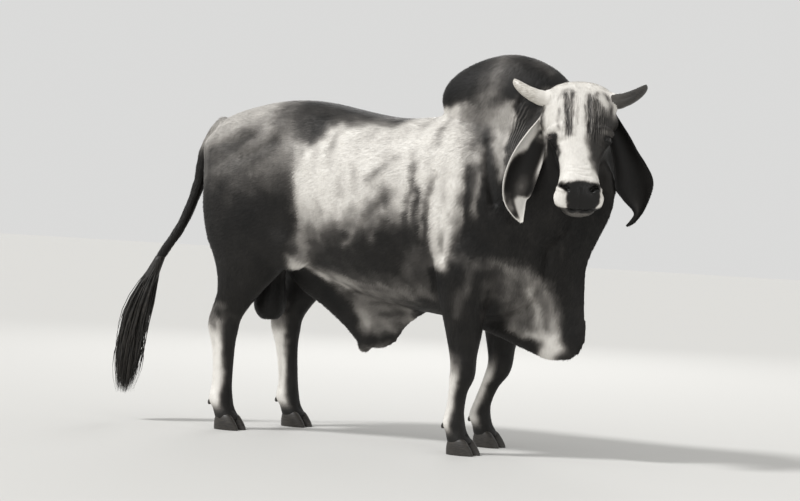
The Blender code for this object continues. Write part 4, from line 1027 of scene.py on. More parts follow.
# %% [markdown]
# Ears and tail are joined to the body with a Boolean union, since the remesh would fill the
# thin sheets of the ears. Each join is evened, so that the hide runs over it without a seam.

# %% Join ears and tail
def join(skin, name, loft):
    """Add one more loft to the skin by a Boolean union."""
    part = new_object(name, mesh_from(name, [loft]))
    mod = skin.modifiers.new("join", "BOOLEAN")
    mod.object, mod.operation, mod.solver = part, "UNION", "EXACT"
    applied(skin)
    bpy.data.objects.remove(part, do_unlink=True)


def even_near(skin, places, reach, fade, rounds):
    """Even the skin round a join, so that the hide runs over it."""
    points = points_of(skin.data)
    share = np.clip((reach - np.min([far_from(points, q) for q in places], axis=0)) / fade, 0, 0.8)
    set_points(skin.data, evened(points, edges_of(skin.data), rounds, share, back=0.3))


def add_ears(skin):
    for side, word, rows in ((-1, "right", EAR_RIGHT), (1, "left", EAR_LEFT)):
        join(skin, f"ear {word}", ear_loft(side, rows, EAR_RINGS, EAR_ACROSS))
    even_near(skin, [head_point(0.135, s * 0.13, -0.1) for s in (-1, 1)], 0.085, 0.03, 12)


def tail_rings(count=14, steps=6):
    """The dock and the shaft of the tail as one tapering loft, down into the switch."""
    path = through(TAIL_PATH, steps)
    share = np.linspace(0, 1, len(path))
    radius = np.interp(share, [0, 0.2, 0.5, 0.8, 1.0], [0.048, 0.036, 0.024, 0.019, 0.008])
    rings = []
    for j, here in enumerate(path):
        axis = unit(path[min(j + 1, len(path) - 1)] - path[max(j - 1, 0)])
        u = unit(np.cross(axis, (0.0, 1.0, 0.0)))
        r = radius[j] * (1 + 0.035 * math.sin(share[j] * 75))
        rings.append(ring(here, np.cross(axis, u), u, r, r, r, count=count))
    return rings


TAIL_PATH = [
    (-1.01, 0.0, 1.44), (-1.085, 0.0, 1.385), (-1.135, -0.008, 1.27), (-1.15, -0.03, 1.13),
    (-1.19, -0.09, 0.945), (-1.255, -0.15, 0.8), (-1.3, -0.19, 0.68), (-1.325, -0.215, 0.58),
]


add_ears(skin)
join(skin, "tail", closed_loft(tail_rings()))
even_near(skin, [np.array([-1.05, 0.0, 1.4])], 0.12, 0.05, 14)
skin.data.calc_loop_triangles()
print("skin with ears and tail:", len(skin.data.loop_triangles), "triangles")

# %% [markdown]
# The skin is thinned where it is flat, so that it keeps its detail and stays one light piece.

# %% Thin the skin
MOST_SKIN_TRIANGLES = 188_000

mod = skin.modifiers.new("fewer triangles", "DECIMATE")
mod.ratio = min(1.0, MOST_SKIN_TRIANGLES / len(skin.data.loop_triangles))
applied(skin)
skin.data.calc_loop_triangles()
print("thinned skin:", len(skin.data.loop_triangles), "triangles")

# %% [markdown]
# Horns, hooves and eyes are hard and smooth beside the hide. A horn grows in rings from its
# base; a hoof is two claws of horn with growth lines that run level round the wall. A
# bevelled curve would make a plain horn quickly; a loft can have the rings in its sections.

# %% Horns
def store(mesh, name, values):
    """Keep one number or one vector for every point of a mesh."""
    kind, field = ("FLOAT_VECTOR", "vector") if values.ndim == 2 else ("FLOAT", "value")
    attribute = mesh.attributes.new(name, kind, "POINT")
    attribute.data.foreach_set(field, values.astype(np.float32).ravel())


def horn(name, side):
    """Short thick horn that curves out and up, ringed near its base."""
    path = through([(0.13, -0.062, 0.044), (0.172, -0.058, 0.038), (0.214, -0.054, 0.022),
                    (0.25, -0.054, -0.002), (0.275, -0.058, -0.028), (0.284, -0.062, -0.048)], 9)
    rings = []
    for j, (out, deep, along) in enumerate(path):
        t = j / (len(path) - 1)
        radius = 0.025 * (1 - t) ** 0.8 + 0.009 * (1 - t ** 5) + 0.003
        radius *= 1 + 0.035 * math.sin(38 * t) * max(0.0, 1 - 1.9 * t)
        nxt = path[min(j + 1, len(path) - 1)] - path[max(j - 1, 0)]
        axis = unit(nxt[0] * side * HEAD_LEFT + nxt[1] * HEAD_OUT + nxt[2] * HEAD_LONG)
        u = unit(np.cross(axis, FACE))
        here = head_point(along, side * out, deep)
        rings.append(ring(here, u, np.cross(axis, u), radius, radius, radius))
    made = new_object(name, mesh_from(name, [closed_loft(rings)]))
    store(made.data, "from_root", (np.abs(head_coords(points_of(made.data))[1]) - 0.13) / 0.154)
    return made


horns = {word: horn(f"bull_horn_{word}", side) for side, word in SIDES}
print("horns:", [len(h.data.vertices) for h in horns.values()], "points")

# %% [markdown]
# A claw is lofted from its flat sole up to the hairline, steep in front and low at the heel.
# The dewclaws behind the fetlock are two small horny cones.

# %% Hooves
CLAW_LENGTH, CLAW_WIDTH, CLAW_SPREAD = 0.128, 0.056, 0.0305
# Cuts of a claw: height, how far forward, half width, and its rear and front half length.
CLAW_CUTS = [
    (0.0, 0.0, 0.485, 0.49, 0.545), (0.004, 0.0, 0.5, 0.5, 0.555),
    (0.02, -0.002, 0.49, 0.49, 0.515), (0.04, -0.006, 0.46, 0.45, 0.44),
    (0.062, -0.01, 0.36, 0.38, 0.33), (0.074, -0.014, 0.24, 0.26, 0.22),
]


def claw(name, fx, fy, out):
    rows = [(fx + dx + 0.022, fy + out * CLAW_SPREAD, z, 0, 90, w * CLAW_WIDTH, rear * CLAW_LENGTH,
             front * CLAW_LENGTH) for z, dx, w, rear, front in CLAW_CUTS]
    verts, faces = tube(rows, steps=5, count=30)
    groove = 1 + 0.006 * np.sin(verts[:, 2] * 900)
    middle = np.array([fx + 0.022, fy + out * CLAW_SPREAD, 0.0])
    flat = (verts - middle) * np.array([1, 1, 0])
    verts = verts + flat * (groove[:, None] - 1) * rise(verts[:, 2:3], 0, 0.01)
    return new_object(name, mesh_from(name, [(verts, faces)]))


def dewclaw(name, fx, fy, out, back):
    verts, faces = egg((fx - back, fy + out * 0.024, 0.128), (0.022, 0.013, 0.012), (-0.6, 0, -0.8),
                       rings=13, count=18)
    return new_object(name, mesh_from(name, [(verts, faces)]))


hooves = {}
for leg, (fx, fy, _) in FEET.items():
    place = leg.replace("leg", "")
    side = math.copysign(1.0, fy)
    for word, way in (("outer", side), ("inner", -side)):
        hooves[f"claw_{place}_{word}"] = claw(f"hoof_{place}_{word}", fx, fy, way)
        back = 0.062 if place.startswith("fore") else 0.074
        hooves[f"dewclaw_{place}_{word}"] = dewclaw(f"spur_{place}_{word}", fx, fy, way, back)
print(len(hooves), "horny pieces on the feet")

# %% [markdown]
# The eye is a ball with a slightly proud cornea. It sits in the hollow between the lids, so
# that only its front shows.

# %% Eyes
def eyeball(name, side):
    centre, outward, _, _ = eye_frame(side)
    verts, faces = egg(centre, (EYE_RADIUS,) * 3, outward, HEAD_LONG, rings=29, count=40)
    lift = rise((verts - centre) @ outward / EYE_RADIUS, 0.72, 0.28) ** 0.6
    return new_object(name, mesh_from(name, [(verts + 0.0018 * lift[:, None] * outward, faces)]))


eyes = {word: eyeball(f"eyeball_{word}", side) for side, word in SIDES}
middles = [points_of(eye.data).mean(axis=0) for eye in eyes.values()]
print("eyes set", round(float(np.linalg.norm(middles[0] - middles[1])), 3), "m apart")

# %% [markdown]
# The switch is long coarse hair. It is made of many flat tapered strands that leave a core
# at different heights, swell outward and come together again at the bottom. Particle hair
# would do for a render only; strands of mesh go wherever the model goes.

# %% Switch of the tail
def strand(root, belly, tip, width, flat, steps=6):
    """One flat, tapered strand of long hair on a bending line from its root to its tip."""
    root, belly, tip = (np.array(p, float) for p in (root, belly, tip))
    rings = []
    for k in range(steps + 1):
        t = k / steps
        here = (1 - t) ** 2 * root + 2 * t * (1 - t) * belly + t * t * tip
        way = unit(2 * (1 - t) * (belly - root) + 2 * t * (tip - belly))
        broad = unit(flat - way * (flat @ way))
        thin = np.cross(way, broad)
        taper = (0.55 + 0.45 * math.sin(math.pi * min(t * 1.4, 1.0))) * (1 - 0.93 * t ** 3)
        w, d = width * taper, width * 0.3 * taper
        wide, deep = w * broad, d * thin
        rings.append(np.array([here + wide, here + deep, here - wide, here - deep]))
    return closed_loft(rings)


def switch_of_hair(count=520):
    rng = random.Random(11)
    core = through([(-1.262, -0.156, 0.786), (-1.29, -0.181, 0.7), (-1.318, -0.208, 0.6),
                    (-1.34, -0.23, 0.5), (-1.352, -0.242, 0.42)], 4)
    share = np.linspace(0, 1, len(core))
    radius = np.interp(share, [0, 0.25, 0.6, 1.0], [0.024, 0.034, 0.042, 0.012])
    pieces = [closed_loft([ring(p, np.array([1.0, 0, 0]), np.array([0, 1.0, 0]), r, r, r, count=16)
                           for p, r in zip(core, radius)])]
    for k in range(count):
        t = (k + 0.5) / count
        a = 2.4 * k + rng.uniform(-0.2, 0.2)
        out = np.array([math.cos(a), math.sin(a), 0.0])
        j = (0.04 + 0.88 * t) * (len(core) - 1)
        base = core[int(j)] + (core[min(int(j) + 1, len(core) - 1)] - core[int(j)]) * (j % 1)
        root = base + np.interp(t, [0, 0.3, 1], [0.016, 0.024, 0.02]) * out
        low = 0.124 + 0.22 * (1 - t) ** 1.4 * rng.uniform(0.1, 1.0) + 0.05 * rng.random() ** 3
        tip = np.array([-1.362, -0.267, low]) + out * rng.uniform(0.004, 0.046)
        belly = np.array([-1.362, -0.244, (root[2] + low) / 2]) + out * rng.uniform(0.03, 0.118)
        flat = np.array([-out[1], out[0], 0.0]) + 0.5 * rng.uniform(-1, 1) * out
        pieces.append(strand(root, belly, tip, rng.uniform(0.0035, 0.0075), flat))
    return new_object("tail_hair", mesh_from("tail_hair", pieces))


tail_hair = switch_of_hair()
print("tail hair:", len(tail_hair.data.polygons), "faces")

# %% [markdown]
# Markings. The bull is grey: white hair over dark skin, nearly white on the barrel, the
# shoulder and the face, and almost black on the hump, the chest, the quarters and the legs.
# Some markings are painted light and shade as well: shade under the barrel, in creases and
# wrinkles and on the far side of the head, light on the backs of the cannons and the belly's edge.
# Each marking is a named outline on the side of the body or a band along a line. They could
# be painted on an image; as numbers on the points they need none and follow every change of
# shape. Skin and coat read the same number, tone, from 0 for black to 1 for white.

# %% Tools for the markings
def ripple(points, size, seed, octaves=3):
    """Smooth irregular field, mostly between -1 and 1, with lumps of the given size."""
    rng = np.random.default_rng(seed)
    total, weight = np.zeros(len(points)), 0.0
    for k in range(octaves):
        for _ in range(4):
            way = rng.normal(size=3)
            way *= 2 * math.pi / (size / 1.9 ** k) / np.linalg.norm(way) * rng.uniform(0.7, 1.2)
            total += np.sin(points @ way + rng.uniform(0, 6.28)) / 1.7 ** k
        weight += 1 / 1.7 ** k
    return total / (weight * 1.9)


def inside(points, outline, soft):
    """1 inside an outline in the x-z plane, 0 outside, with an edge about `soft` wide."""
    p = points[:, [0, 2]]
    poly = np.array(outline, float)
    best, odd = np.full(len(p), 1e9), np.zeros(len(p), bool)
    for a, b in zip(poly, np.roll(poly, -1, axis=0)):
        ab = b - a
        t = np.clip(((p - a) @ ab) / max(ab @ ab, 1e-12), 0, 1)
        best = np.minimum(best, np.linalg.norm(p - a - t[:, None] * ab, axis=1))
        crosses = (a[1] > p[:, 1]) != (b[1] > p[:, 1])
        at = a[0] + (p[:, 1] - a[1]) * ab[0] / (ab[1] if abs(ab[1]) > 1e-9 else 1e-9)
        odd ^= crosses & (p[:, 0] < at)
    return smoothstep(np.clip(np.where(odd, best, -best) / soft + 0.5, 0, 1))


def band(points, line, width):
    """1 on a line, fading to 0 over `width`; the line is mirrored to both sides."""
    line = np.array(line, float)
    both = np.stack([points[:, 0], -np.abs(points[:, 1]), points[:, 2]], axis=1)
    return hill(away_from_line(both, line), 0, width)


def toward(tone, target, share):
    return tone + (target - tone) * np.clip(share, 0, 1)


hide_points = points_of(skin.data)
sample = np.abs(ripple(hide_points, 0.1, 1))
print("a ripple is under 1 on", round(float((sample < 1).mean()), 2), "of the points")

# %% [markdown]
# The outlines were read from the photograph on the near side, and the far side carries the
# same ones. Most edges are soft, as one grey runs into the next, and wander by a ripple.

# %% Outlines on the body
MAIN_TONE = 0.93        # of the barrel and the shoulder
FADES = {"dark quarter": (0.98, 1.345)}        # heights between which an outline fades out upwards
OUTLINES = [     # name, tone, softness, outline (x forward, z up)
    ("grey rump", 0.74, 0.1, [(-1.3, 1.22), (-0.43, 1.22), (-0.43, 1.6), (-1.3, 1.6)]),
    ("loin haze", 0.42, 0.14, [(-0.62, 1.62), (-0.6, 1.44), (-0.42, 1.34), (-0.34, 1.36),
     (-0.26, 1.62)]),
    ("dark quarter", 0.09, 0.06, [(-1.3, 1.4), (-0.41, 1.4), (-0.388, 1.17), (-0.38, 0.99),
     (-0.38, 0.83), (-0.43, 0.77), (-0.3, 0.7), (-0.45, -0.1), (-1.3, -0.1)]),
    ("dark loin", 0.17, 0.095, [(-0.5, 1.48), (-0.5, 1.62), (0.12, 1.62), (0.08, 1.452),
     (-0.15, 1.45), (-0.3, 1.435), (-0.305, 1.39), (-0.345, 1.335), (-0.385, 1.355),
     (-0.41, 1.43)]),
    # the lower half of the barrel: partly darker hair, partly painted shade under its curve
    ("mottled flank", 0.38, 0.13, [(-0.37, 1.0), (-0.22, 0.995), (-0.07, 0.975), (-0.03, 0.88),
     (-0.2, 0.78), (-0.37, 0.8)]),
    ("dark lower barrel", 0.12, 0.15, [(-0.17, 0.93), (-0.07, 0.94), (0.04, 1.0), (0.14, 1.03),
     (0.22, 1.015), (0.34, 1.02), (0.36, 0.86), (0.3, 0.755), (0.16, 0.72), (-0.1, 0.725),
     (-0.3, 0.775), (-0.33, 0.83)]),
    ("grey fore barrel", 0.27, 0.06, [(0.14, 0.7), (0.23, 0.83), (0.31, 0.93), (0.37, 0.89),
     (0.37, 0.7)]),
    # the belly: painted light reflected from the floor on its edge, and partly painted shade
    # beneath
    ("grey belly", 0.4, 0.03, [(-0.38, 0.725), (-0.1, 0.69), (0.2, 0.7), (0.38, 0.73), (0.4, 0.69),
     (0.2, 0.655), (-0.15, 0.64), (-0.36, 0.69)]),
    ("under belly", 0.16, 0.03, [(-0.45, 0.69), (-0.15, 0.645), (0.2, 0.655), (0.4, 0.69),
     (0.42, 0.56), (-0.42, 0.56)]),
    ("grey sheath", 0.44, 0.04, [(-0.24, 0.64), (0.1, 0.66), (0.08, 0.4), (-0.26, 0.4)]),
    ("dark sheath edge", 0.06, 0.035, [(-0.6, 0.8), (-0.45, 0.78), (-0.33, 0.7), (-0.215, 0.615),
     (-0.185, 0.545), (-0.185, 0.44), (-0.6, 0.44)]),
    ("dark chest", 0.07, 0.095, [(0.485, 0.84), (0.49, 1.0), (0.5, 1.12), (0.515, 1.22),
     (0.545, 1.29), (0.62, 1.27), (0.69, 1.235), (0.75, 1.3), (0.8, 1.35), (0.88, 1.42),
     (1.02, 1.48), (1.35, 1.48), (1.35, 0.36), (0.86, 0.36), (0.86, 0.6), (0.82, 0.75),
     (0.72, 0.82), (0.66, 0.85)]),
    ("fold shade", 0.19, 0.03, [(0.668, 1.6), (1.05, 1.62), (1.05, 1.42), (0.8, 1.26), (0.72, 1.14),
     (0.655, 1.16), (0.648, 1.3), (0.64, 1.4), (0.652, 1.5)]),
    ("pale neck", 0.68, 0.024, [(0.55, 1.45), (0.56, 1.57), (0.656, 1.58), (0.648, 1.48),
     (0.634, 1.42), (0.63, 1.37), (0.642, 1.3), (0.655, 1.22), (0.64, 1.19), (0.622, 1.27),
     (0.598, 1.34), (0.585, 1.39)]),
    ("brisket", 0.38, 0.07, [(0.645, 0.825), (0.72, 0.815), (0.8, 0.765), (0.835, 0.7),
     (0.84, 0.61), (0.83, 0.54), (0.76, 0.545), (0.66, 0.545), (0.56, 0.545), (0.6, 0.69)]),
    ("under brisket", 0.12, 0.024, [(0.54, 0.545), (0.7, 0.535), (0.775, 0.505), (0.76, 0.45),
     (0.5, 0.46)]),
    ("white tip", 0.92, 0.026, [(0.78, 0.5), (0.808, 0.56), (0.845, 0.555), (0.875, 0.47),
     (0.79, 0.42)]),
    ("dark forelegs", 0.08, 0.08, [(0.355, 0.79), (0.42, 0.815), (0.47, 0.84), (0.56, 0.85),
     (0.66, 0.835), (0.6, 0.6), (0.72, 0.2), (0.72, -0.1), (0.18, -0.1), (0.25, 0.45),
     (0.355, 0.62)]),
    ("white arm", 0.94, 0.06, [(0.355, 1.3), (0.455, 1.3), (0.478, 1.1), (0.465, 0.96),
     (0.452, 0.85), (0.395, 0.825), (0.365, 0.98)]),
    ("dark hump", 0.08, 0.036, [(0.15, 1.5), (0.3, 1.525), (0.4, 1.545), (0.5, 1.525), (0.62, 1.56),
     (0.92, 1.54), (0.98, 1.9), (0.1, 1.9)]),
]
print("outlines on the body:", len(OUTLINES))

# %% [markdown]
# Bands are narrower: painted shade between muscles and in the creases of the hide, painted
# light on the ridges of folds, and streaks of pale hair.
# A line with a width is enough for them, where an outline would need two edges.

# %% Bands on the body
BANDS = [     # name, tone, width, line on the right side, mirrored to the left
    ("rump shade", 0.32, 0.072, [(-0.98, -0.2, 1.255), (-0.88, -0.23, 1.29), (-0.78, -0.23, 1.325),
     (-0.7, -0.23, 1.365)]),
    ("thigh shade", 0.34, 0.066, [(-0.66, -0.28, 1.245), (-0.59, -0.27, 1.3),
     (-0.55, -0.26, 1.345)]),
    ("slanting shade", 0.44, 0.05, [(0.015, -0.36, 0.99), (0.08, -0.35, 1.07),
     (0.135, -0.33, 1.12)]),
    ("small shade", 0.55, 0.024, [(-0.07, -0.35, 1.01), (-0.04, -0.35, 1.055)]),
    # pale folds: painted light on the ridges of the folds of the lower barrel
    ("first pale fold", 0.62, 0.011, [(-0.08, -0.33, 0.89), (-0.03, -0.35, 0.94),
     (0.015, -0.36, 1.01)]),
    ("second pale fold", 0.55, 0.01, [(0.07, -0.35, 0.93), (0.1, -0.35, 0.98),
     (0.11, -0.35, 1.03)]),
    ("rib shade", 0.62, 0.02, [(0.03, -0.33, 1.18), (0.08, -0.32, 1.225)]),
    ("second rib shade", 0.66, 0.016, [(0.11, -0.3, 1.255), (0.15, -0.28, 1.295)]),
    # painted light reflected from the floor along the edge of the belly
    ("belly rim", 0.42, 0.022, [(-0.36, -0.25, 0.745), (-0.24, -0.22, 0.705), (-0.05, -0.22, 0.69),
     (0.25, -0.24, 0.705), (0.35, -0.26, 0.735)]),
    ("flank spot", 0.92, 0.024, [(-0.412, -0.27, 0.815), (-0.378, -0.25, 0.775)]),
    # painted shade in the creases round the elbow and the arm, with painted light on the ridge
    # between
    ("elbow crease", 0.06, 0.016, [(0.372, -0.3, 0.81), (0.355, -0.24, 0.68)]),
    ("arm crease", 0.08, 0.016, [(0.35, -0.3, 1.21), (0.34, -0.32, 1.09), (0.332, -0.33, 1.0),
     (0.345, -0.33, 0.88)]),
    ("second crease", 0.1, 0.014, [(0.278, -0.31, 1.16), (0.29, -0.33, 1.04), (0.3, -0.33, 0.93)]),
    ("third crease", 0.14, 0.016, [(0.25, -0.3, 1.25), (0.248, -0.32, 1.18), (0.238, -0.33, 1.08),
     (0.23, -0.33, 1.0)]),
    ("pale gap", 0.78, 0.008, [(0.306, -0.31, 1.15), (0.314, -0.33, 1.04), (0.322, -0.33, 0.95)]),
    ("arm line", 0.24, 0.01, [(0.418, -0.32, 0.98), (0.42, -0.32, 0.89)]),
    ("shoulder mark", 0.35, 0.01, [(0.32, -0.2, 1.42), (0.34, -0.25, 1.35)]),
    ("wither shade", 0.52, 0.055, [(0.43, -0.15, 1.5), (0.49, -0.16, 1.43), (0.52, -0.21, 1.36)]),
    ("first streak", 0.09, 0.026, [(0.53, -0.16, 1.42), (0.56, -0.2, 1.35), (0.59, -0.22, 1.27),
     (0.63, -0.24, 1.15)]),
    ("second streak", 0.1, 0.022, [(0.512, -0.26, 1.26), (0.53, -0.28, 1.16), (0.54, -0.29, 1.05)]),
    ("pale streak", 0.55, 0.016, [(0.56, -0.25, 1.24), (0.562, -0.27, 1.16), (0.56, -0.29, 1.06)]),
    ("hump saddle", 0.42, 0.07, [(0.545, 0.0, 1.775), (0.545, -0.06, 1.75), (0.53, -0.12, 1.67),
     (0.53, -0.14, 1.58), (0.49, -0.15, 1.5)]),
    ("hump sheen", 0.34, 0.024, [(0.7, -0.02, 1.73), (0.78, -0.04, 1.685)]),
    ("forearm sheen", 0.3, 0.024, [(0.55, -0.3, 0.85), (0.55, -0.3, 0.75), (0.51, -0.3, 0.67),
     (0.49, -0.29, 0.62)]),
    ("sheath hair", 0.7, 0.03, [(-0.165, -0.03, 0.585), (-0.135, -0.03, 0.53), (-0.1, -0.03, 0.5)]),
    ("sheath front", 0.58, 0.026, [(-0.05, -0.02, 0.545), (-0.015, -0.02, 0.505)]),
    ("sheath end", 0.05, 0.026, [(-0.19, -0.02, 0.455), (-0.09, -0.02, 0.462),
     (0.02, -0.01, 0.485)]),
    ("brisket pleat", 0.78, 0.02, [(0.74, -0.09, 0.745), (0.75, -0.03, 0.65),
     (0.78, -0.04, 0.555)]),
    ("brisket rim", 0.66, 0.012, [(0.795, -0.04, 0.745), (0.822, -0.03, 0.65),
     (0.828, -0.03, 0.57)]),
    ("throat line", 0.2, 0.01, [(0.885, -0.09, 1.0), (0.885, -0.04, 0.94), (0.86, -0.03, 0.88)]),
    ("dock", 0.55, 0.05, [(-1.01, 0.0, 1.47), (-1.1, 0.0, 1.4)]),
]
print("bands on the body:", len(BANDS))

# %% [markdown]
# Outlines and bands are laid over one another in the order of their lists. The points are
# shifted by a ripple first, so that no edge runs smooth, as none does where hair meets hair.

# %% Tone of the body
def body_tone(points):
    """Tone of the trunk, from the outlines and the bands, with wandering edges."""
    x, _, z = points.T
    still = np.zeros(len(points))
    edge = np.stack([ripple(points, 0.16, 1), still, ripple(points, 0.13, 2)], axis=1)
    fine = np.stack([ripple(points, 0.045, 3), still, ripple(points, 0.04, 4)], axis=1)
    moved = points + 0.02 * edge + 0.008 * fine
    tone = np.full(len(points), MAIN_TONE)
    for name, value, soft, outline in OUTLINES:
        share = inside(moved, outline, soft)
        if name in FADES:
            low, high = FADES[name]
            share = share * (1 - (1 - fall(moved[:, 2], high, high - low)) ** 2.2)
        tone = toward(tone, value, share)
    moved = points + 0.01 * fine + 0.008 * edge
    for _, value, width, line in BANDS:
        tone = toward(tone, value, band(moved, line, width))
    # where one grey runs into the next the hair stands in uneven patches, and fine creases of
    # painted shade run down the fore half of the barrel and along its lower half
    uneven = 0.45 * ripple(points, 0.07, 31) + 0.55 * ripple(points, 0.024, 32)
    down = ripple(points * [1.0, 0.3, 0.22] + 0.12 * points[:, [2, 0, 0]] * [1, 0, 0], 0.05, 33)
    along = ripple(points * [0.22, 0.3, 1.0], 0.046, 34)
    low = fall(z, 1.1, 0.12) * fall(x, 0.2, 0.15)
    trunk = rise(x, -0.42, 0.05) * fall(x, 0.62, 0.08)
    down, along = np.clip(down - 0.15, 0, 1), np.clip(along - 0.1, 0, 1)
    crease = trunk * (down * (1 - low) * 0.9 + along * low)
    mid = np.clip(tone, 0, 1)
    dark = 0.07 * ripple(points, 0.2, 37) + 0.05 * uneven
    patchy = 0.45 * uneven * mid * (1.0 - mid) ** 0.8
    return tone + patchy - 0.42 * crease * mid + dark * (1.0 - mid) ** 2


tone = body_tone(hide_points)
print("mean tone of the body:", round(float(tone.mean()), 2))

# %% [markdown]
# Legs and tail: the backs of the cannons carry painted light, the hocks have a pale ring, the
# tail is dark below its root and the scrotum is black.

# %% Markings of the legs and the tail
def limb_tone(tone, points):
    x, y, z = points.T
    wander = 0.1 * ripple(points, 0.08, 11)
    for leg, (fx, fy, _) in FEET.items():
        mine = (np.abs(y - fy) < 0.13) & (np.abs(x - fx) < 0.25) & (z < 0.6)
        level = np.clip((z / 0.02).astype(int), 0, 40)
        front, back = np.full(41, -9.0), np.full(41, 9.0)
        np.maximum.at(front, level[mine], x[mine])
        np.minimum.at(back, level[mine], x[mine])
        share = (x - back[level]) / np.maximum(front[level] - back[level], 0.02) + wander
        # the back of each cannon is painted pale: painted light
        top, edge, value = (0.52, 0.74, 0.98) if leg.startswith("hind") else (0.42, 0.64, 0.95)
        tall = rise(z, 0.075, 0.05) * np.clip((top + 0.04 - z + 0.3 * wander) / 0.12, 0, 1)
        tone = toward(tone, value, mine * tall * fall(share, edge + 0.1, 0.22))
        if leg.startswith("hind"):
            far = np.hypot(x - (fx - 0.012) + 0.02, z - 0.535)
            tone = toward(tone, 0.42, mine * hill(far, 0.05, 0.02) * (share < 0.55))
    tone = toward(tone, 0.1, ((x < -1.075) & (z < 1.4)) * fall(z, 1.36, 0.1))
    scrotum = (np.abs(y) < 0.105) & (z < 0.7) & (x < -0.6) & (x > -0.85)
    return toward(tone, 0.03, scrotum.astype(float))


tone = limb_tone(tone, hide_points)
print("mean tone with legs and tail:", round(float(tone.mean()), 2))

# %% [markdown]
# The face is white on its front and dark on the cheeks and the jaw, partly with dark hair
# and partly with painted shade. The far brow and the side below it are grey hair deepened by
# painted shade, and the near brow is painted pale as lit. Painted shade runs down the wrinkles
# of the forehead as dark streaks, and the lids are rimmed with dark skin. All of this is drawn
# in the frame of the head, down the face and to its left, so that it turns with the head.

# %% Markings of the head
# broad painted shade over the wrinkles of the forehead
FOREHEAD_PAINTED_SHADES = [     # line down the face (along, left), width, tone
    ([(0.05, -0.052), (0.12, -0.05), (0.225, -0.052)], 0.02, 0.62),
    ([(0.07, 0.05), (0.14, 0.052), (0.225, 0.05)], 0.026, 0.44),
    ([(0.11, 0.085), (0.19, 0.085)], 0.022, 0.42),
]


def near_rows(h, s, rows, width):
    """1 on a line in the plane of the face, fading over `width`."""
    flat = np.stack([h, s, np.zeros(len(h))], axis=1)
    return hill(away_from_line(flat, [(a, b, 0.0) for a, b in rows]), 0, width)


def mouth_line(h):
    """How far under the plane of the face the lips part."""
    return np.interp(h, [0.42, 0.47, 0.515, 0.56], [0.128, 0.115, 0.098, 0.081])


def eye_hollow(sign):
    return head_point(EYE_ALONG, sign * (EYE_OUT + 0.01), EYE_DEEP + 0.006)


def head_tone(tone, points):
    """Tone of the head over that of the body."""
    h, s, t = head_coords(points)
    face = on_head(points) & (t > -0.235) & (np.abs(s) < 0.165) & (h > -0.07)
    soft = rise(t, -0.235, 0.05) * fall(np.abs(s), 0.165, 0.02)
    nape = np.clip((-0.085 - t - 0.6 * np.clip(h, 0, 1)) / 0.07, 0, 1)
    tone = toward(tone, 0.95 - 0.7 * nape, soft * face)
    wander = 0.007 * ripple(points, 0.05, 7)
    # dark cheeks and jaw: partly dark hair, partly painted shade
    side = rise(-(t + wander), 0.07, 0.025) * rise(h, 0.17, 0.05)
    edge = np.interp(h, [0.22, 0.27, 0.34, 0.41, 0.44], [0.118, 0.086, 0.08, 0.08, 0.125])
    side = np.maximum(side, rise(np.abs(s) + wander, edge, 0.01) * (h > 0.24) * (h < 0.44))
    side *= 1 - rise(h, 0.425, 0.02) * rise(t, -0.175, 0.02)
    tone = toward(tone, 0.06, side * face)
    # the far side of the face: grey hair deepened by painted shade
    reach = np.interp(h, [0.08, 0.13, 0.18, 0.26, 0.34, 0.4, 0.43],
                      [0.1, 0.05, 0.02, 0.008, 0.024, 0.055, 0.12])
    shade = rise(s + wander, reach, 0.036) * rise(h, 0.08, 0.06)
    tone = toward(tone, 0.17, 0.93 * shade * (face & (h < 0.44)))
    front = face & (t > -0.06)
    # painted shade over the wrinkles of the forehead, in broad streaks and then in each wrinkle
    for rows, width, value in FOREHEAD_PAINTED_SHADES:
        shaded = toward(tone, value, near_rows(h, s + wander, rows, width))
        tone = np.where(front, np.minimum(tone, shaded), tone)
    smear = ripple(np.column_stack([0.18 * h, s, 0.3 * t]), 0.016, 9)
    for rows, width, _, value in WRINKLES:
        line = near_rows(h, s + 0.4 * wander, rows, 1.05 * width)
        shaded = toward(tone, value, line * np.clip(0.7 + 0.55 * smear, 0, 1))
        tone = np.where(front, np.minimum(tone, shaded), tone)
    # the near brow painted pale as lit and the far one grey as painted shade; dark skin rims the
    # eyes
    for sign in (-1, 1):
        brow = near_rows(h, s * sign, [(0.212, 0.1), (0.222, 0.136)], 0.01) * (t > -0.09)
        tone = toward(tone, 0.9 if sign < 0 else 0.4, brow * face)
        near = far_from(points, eye_hollow(sign)) + wander
        tone = toward(tone, 0.04, fall(near, 0.036, 0.012) * face * rise(h, 0.212, 0.016))
    chin = rise(h, 0.4, 0.04) * fall(t, -mouth_line(h), 0.006)
    return toward(tone, 0.4 - 5.0 * np.clip(np.abs(s) - 0.035, 0, 0.09), chin * face)


tone = head_tone(tone, hide_points)
print("mean tone of the head:", round(float(tone[on_head(hide_points)].mean()), 2))

# %% [markdown]
# The pad of the nose has no hair, and neither have the nostrils and the edges of the lips.
# Where the skin is bare the coat leaves it free and the material is pebbled and shiny.

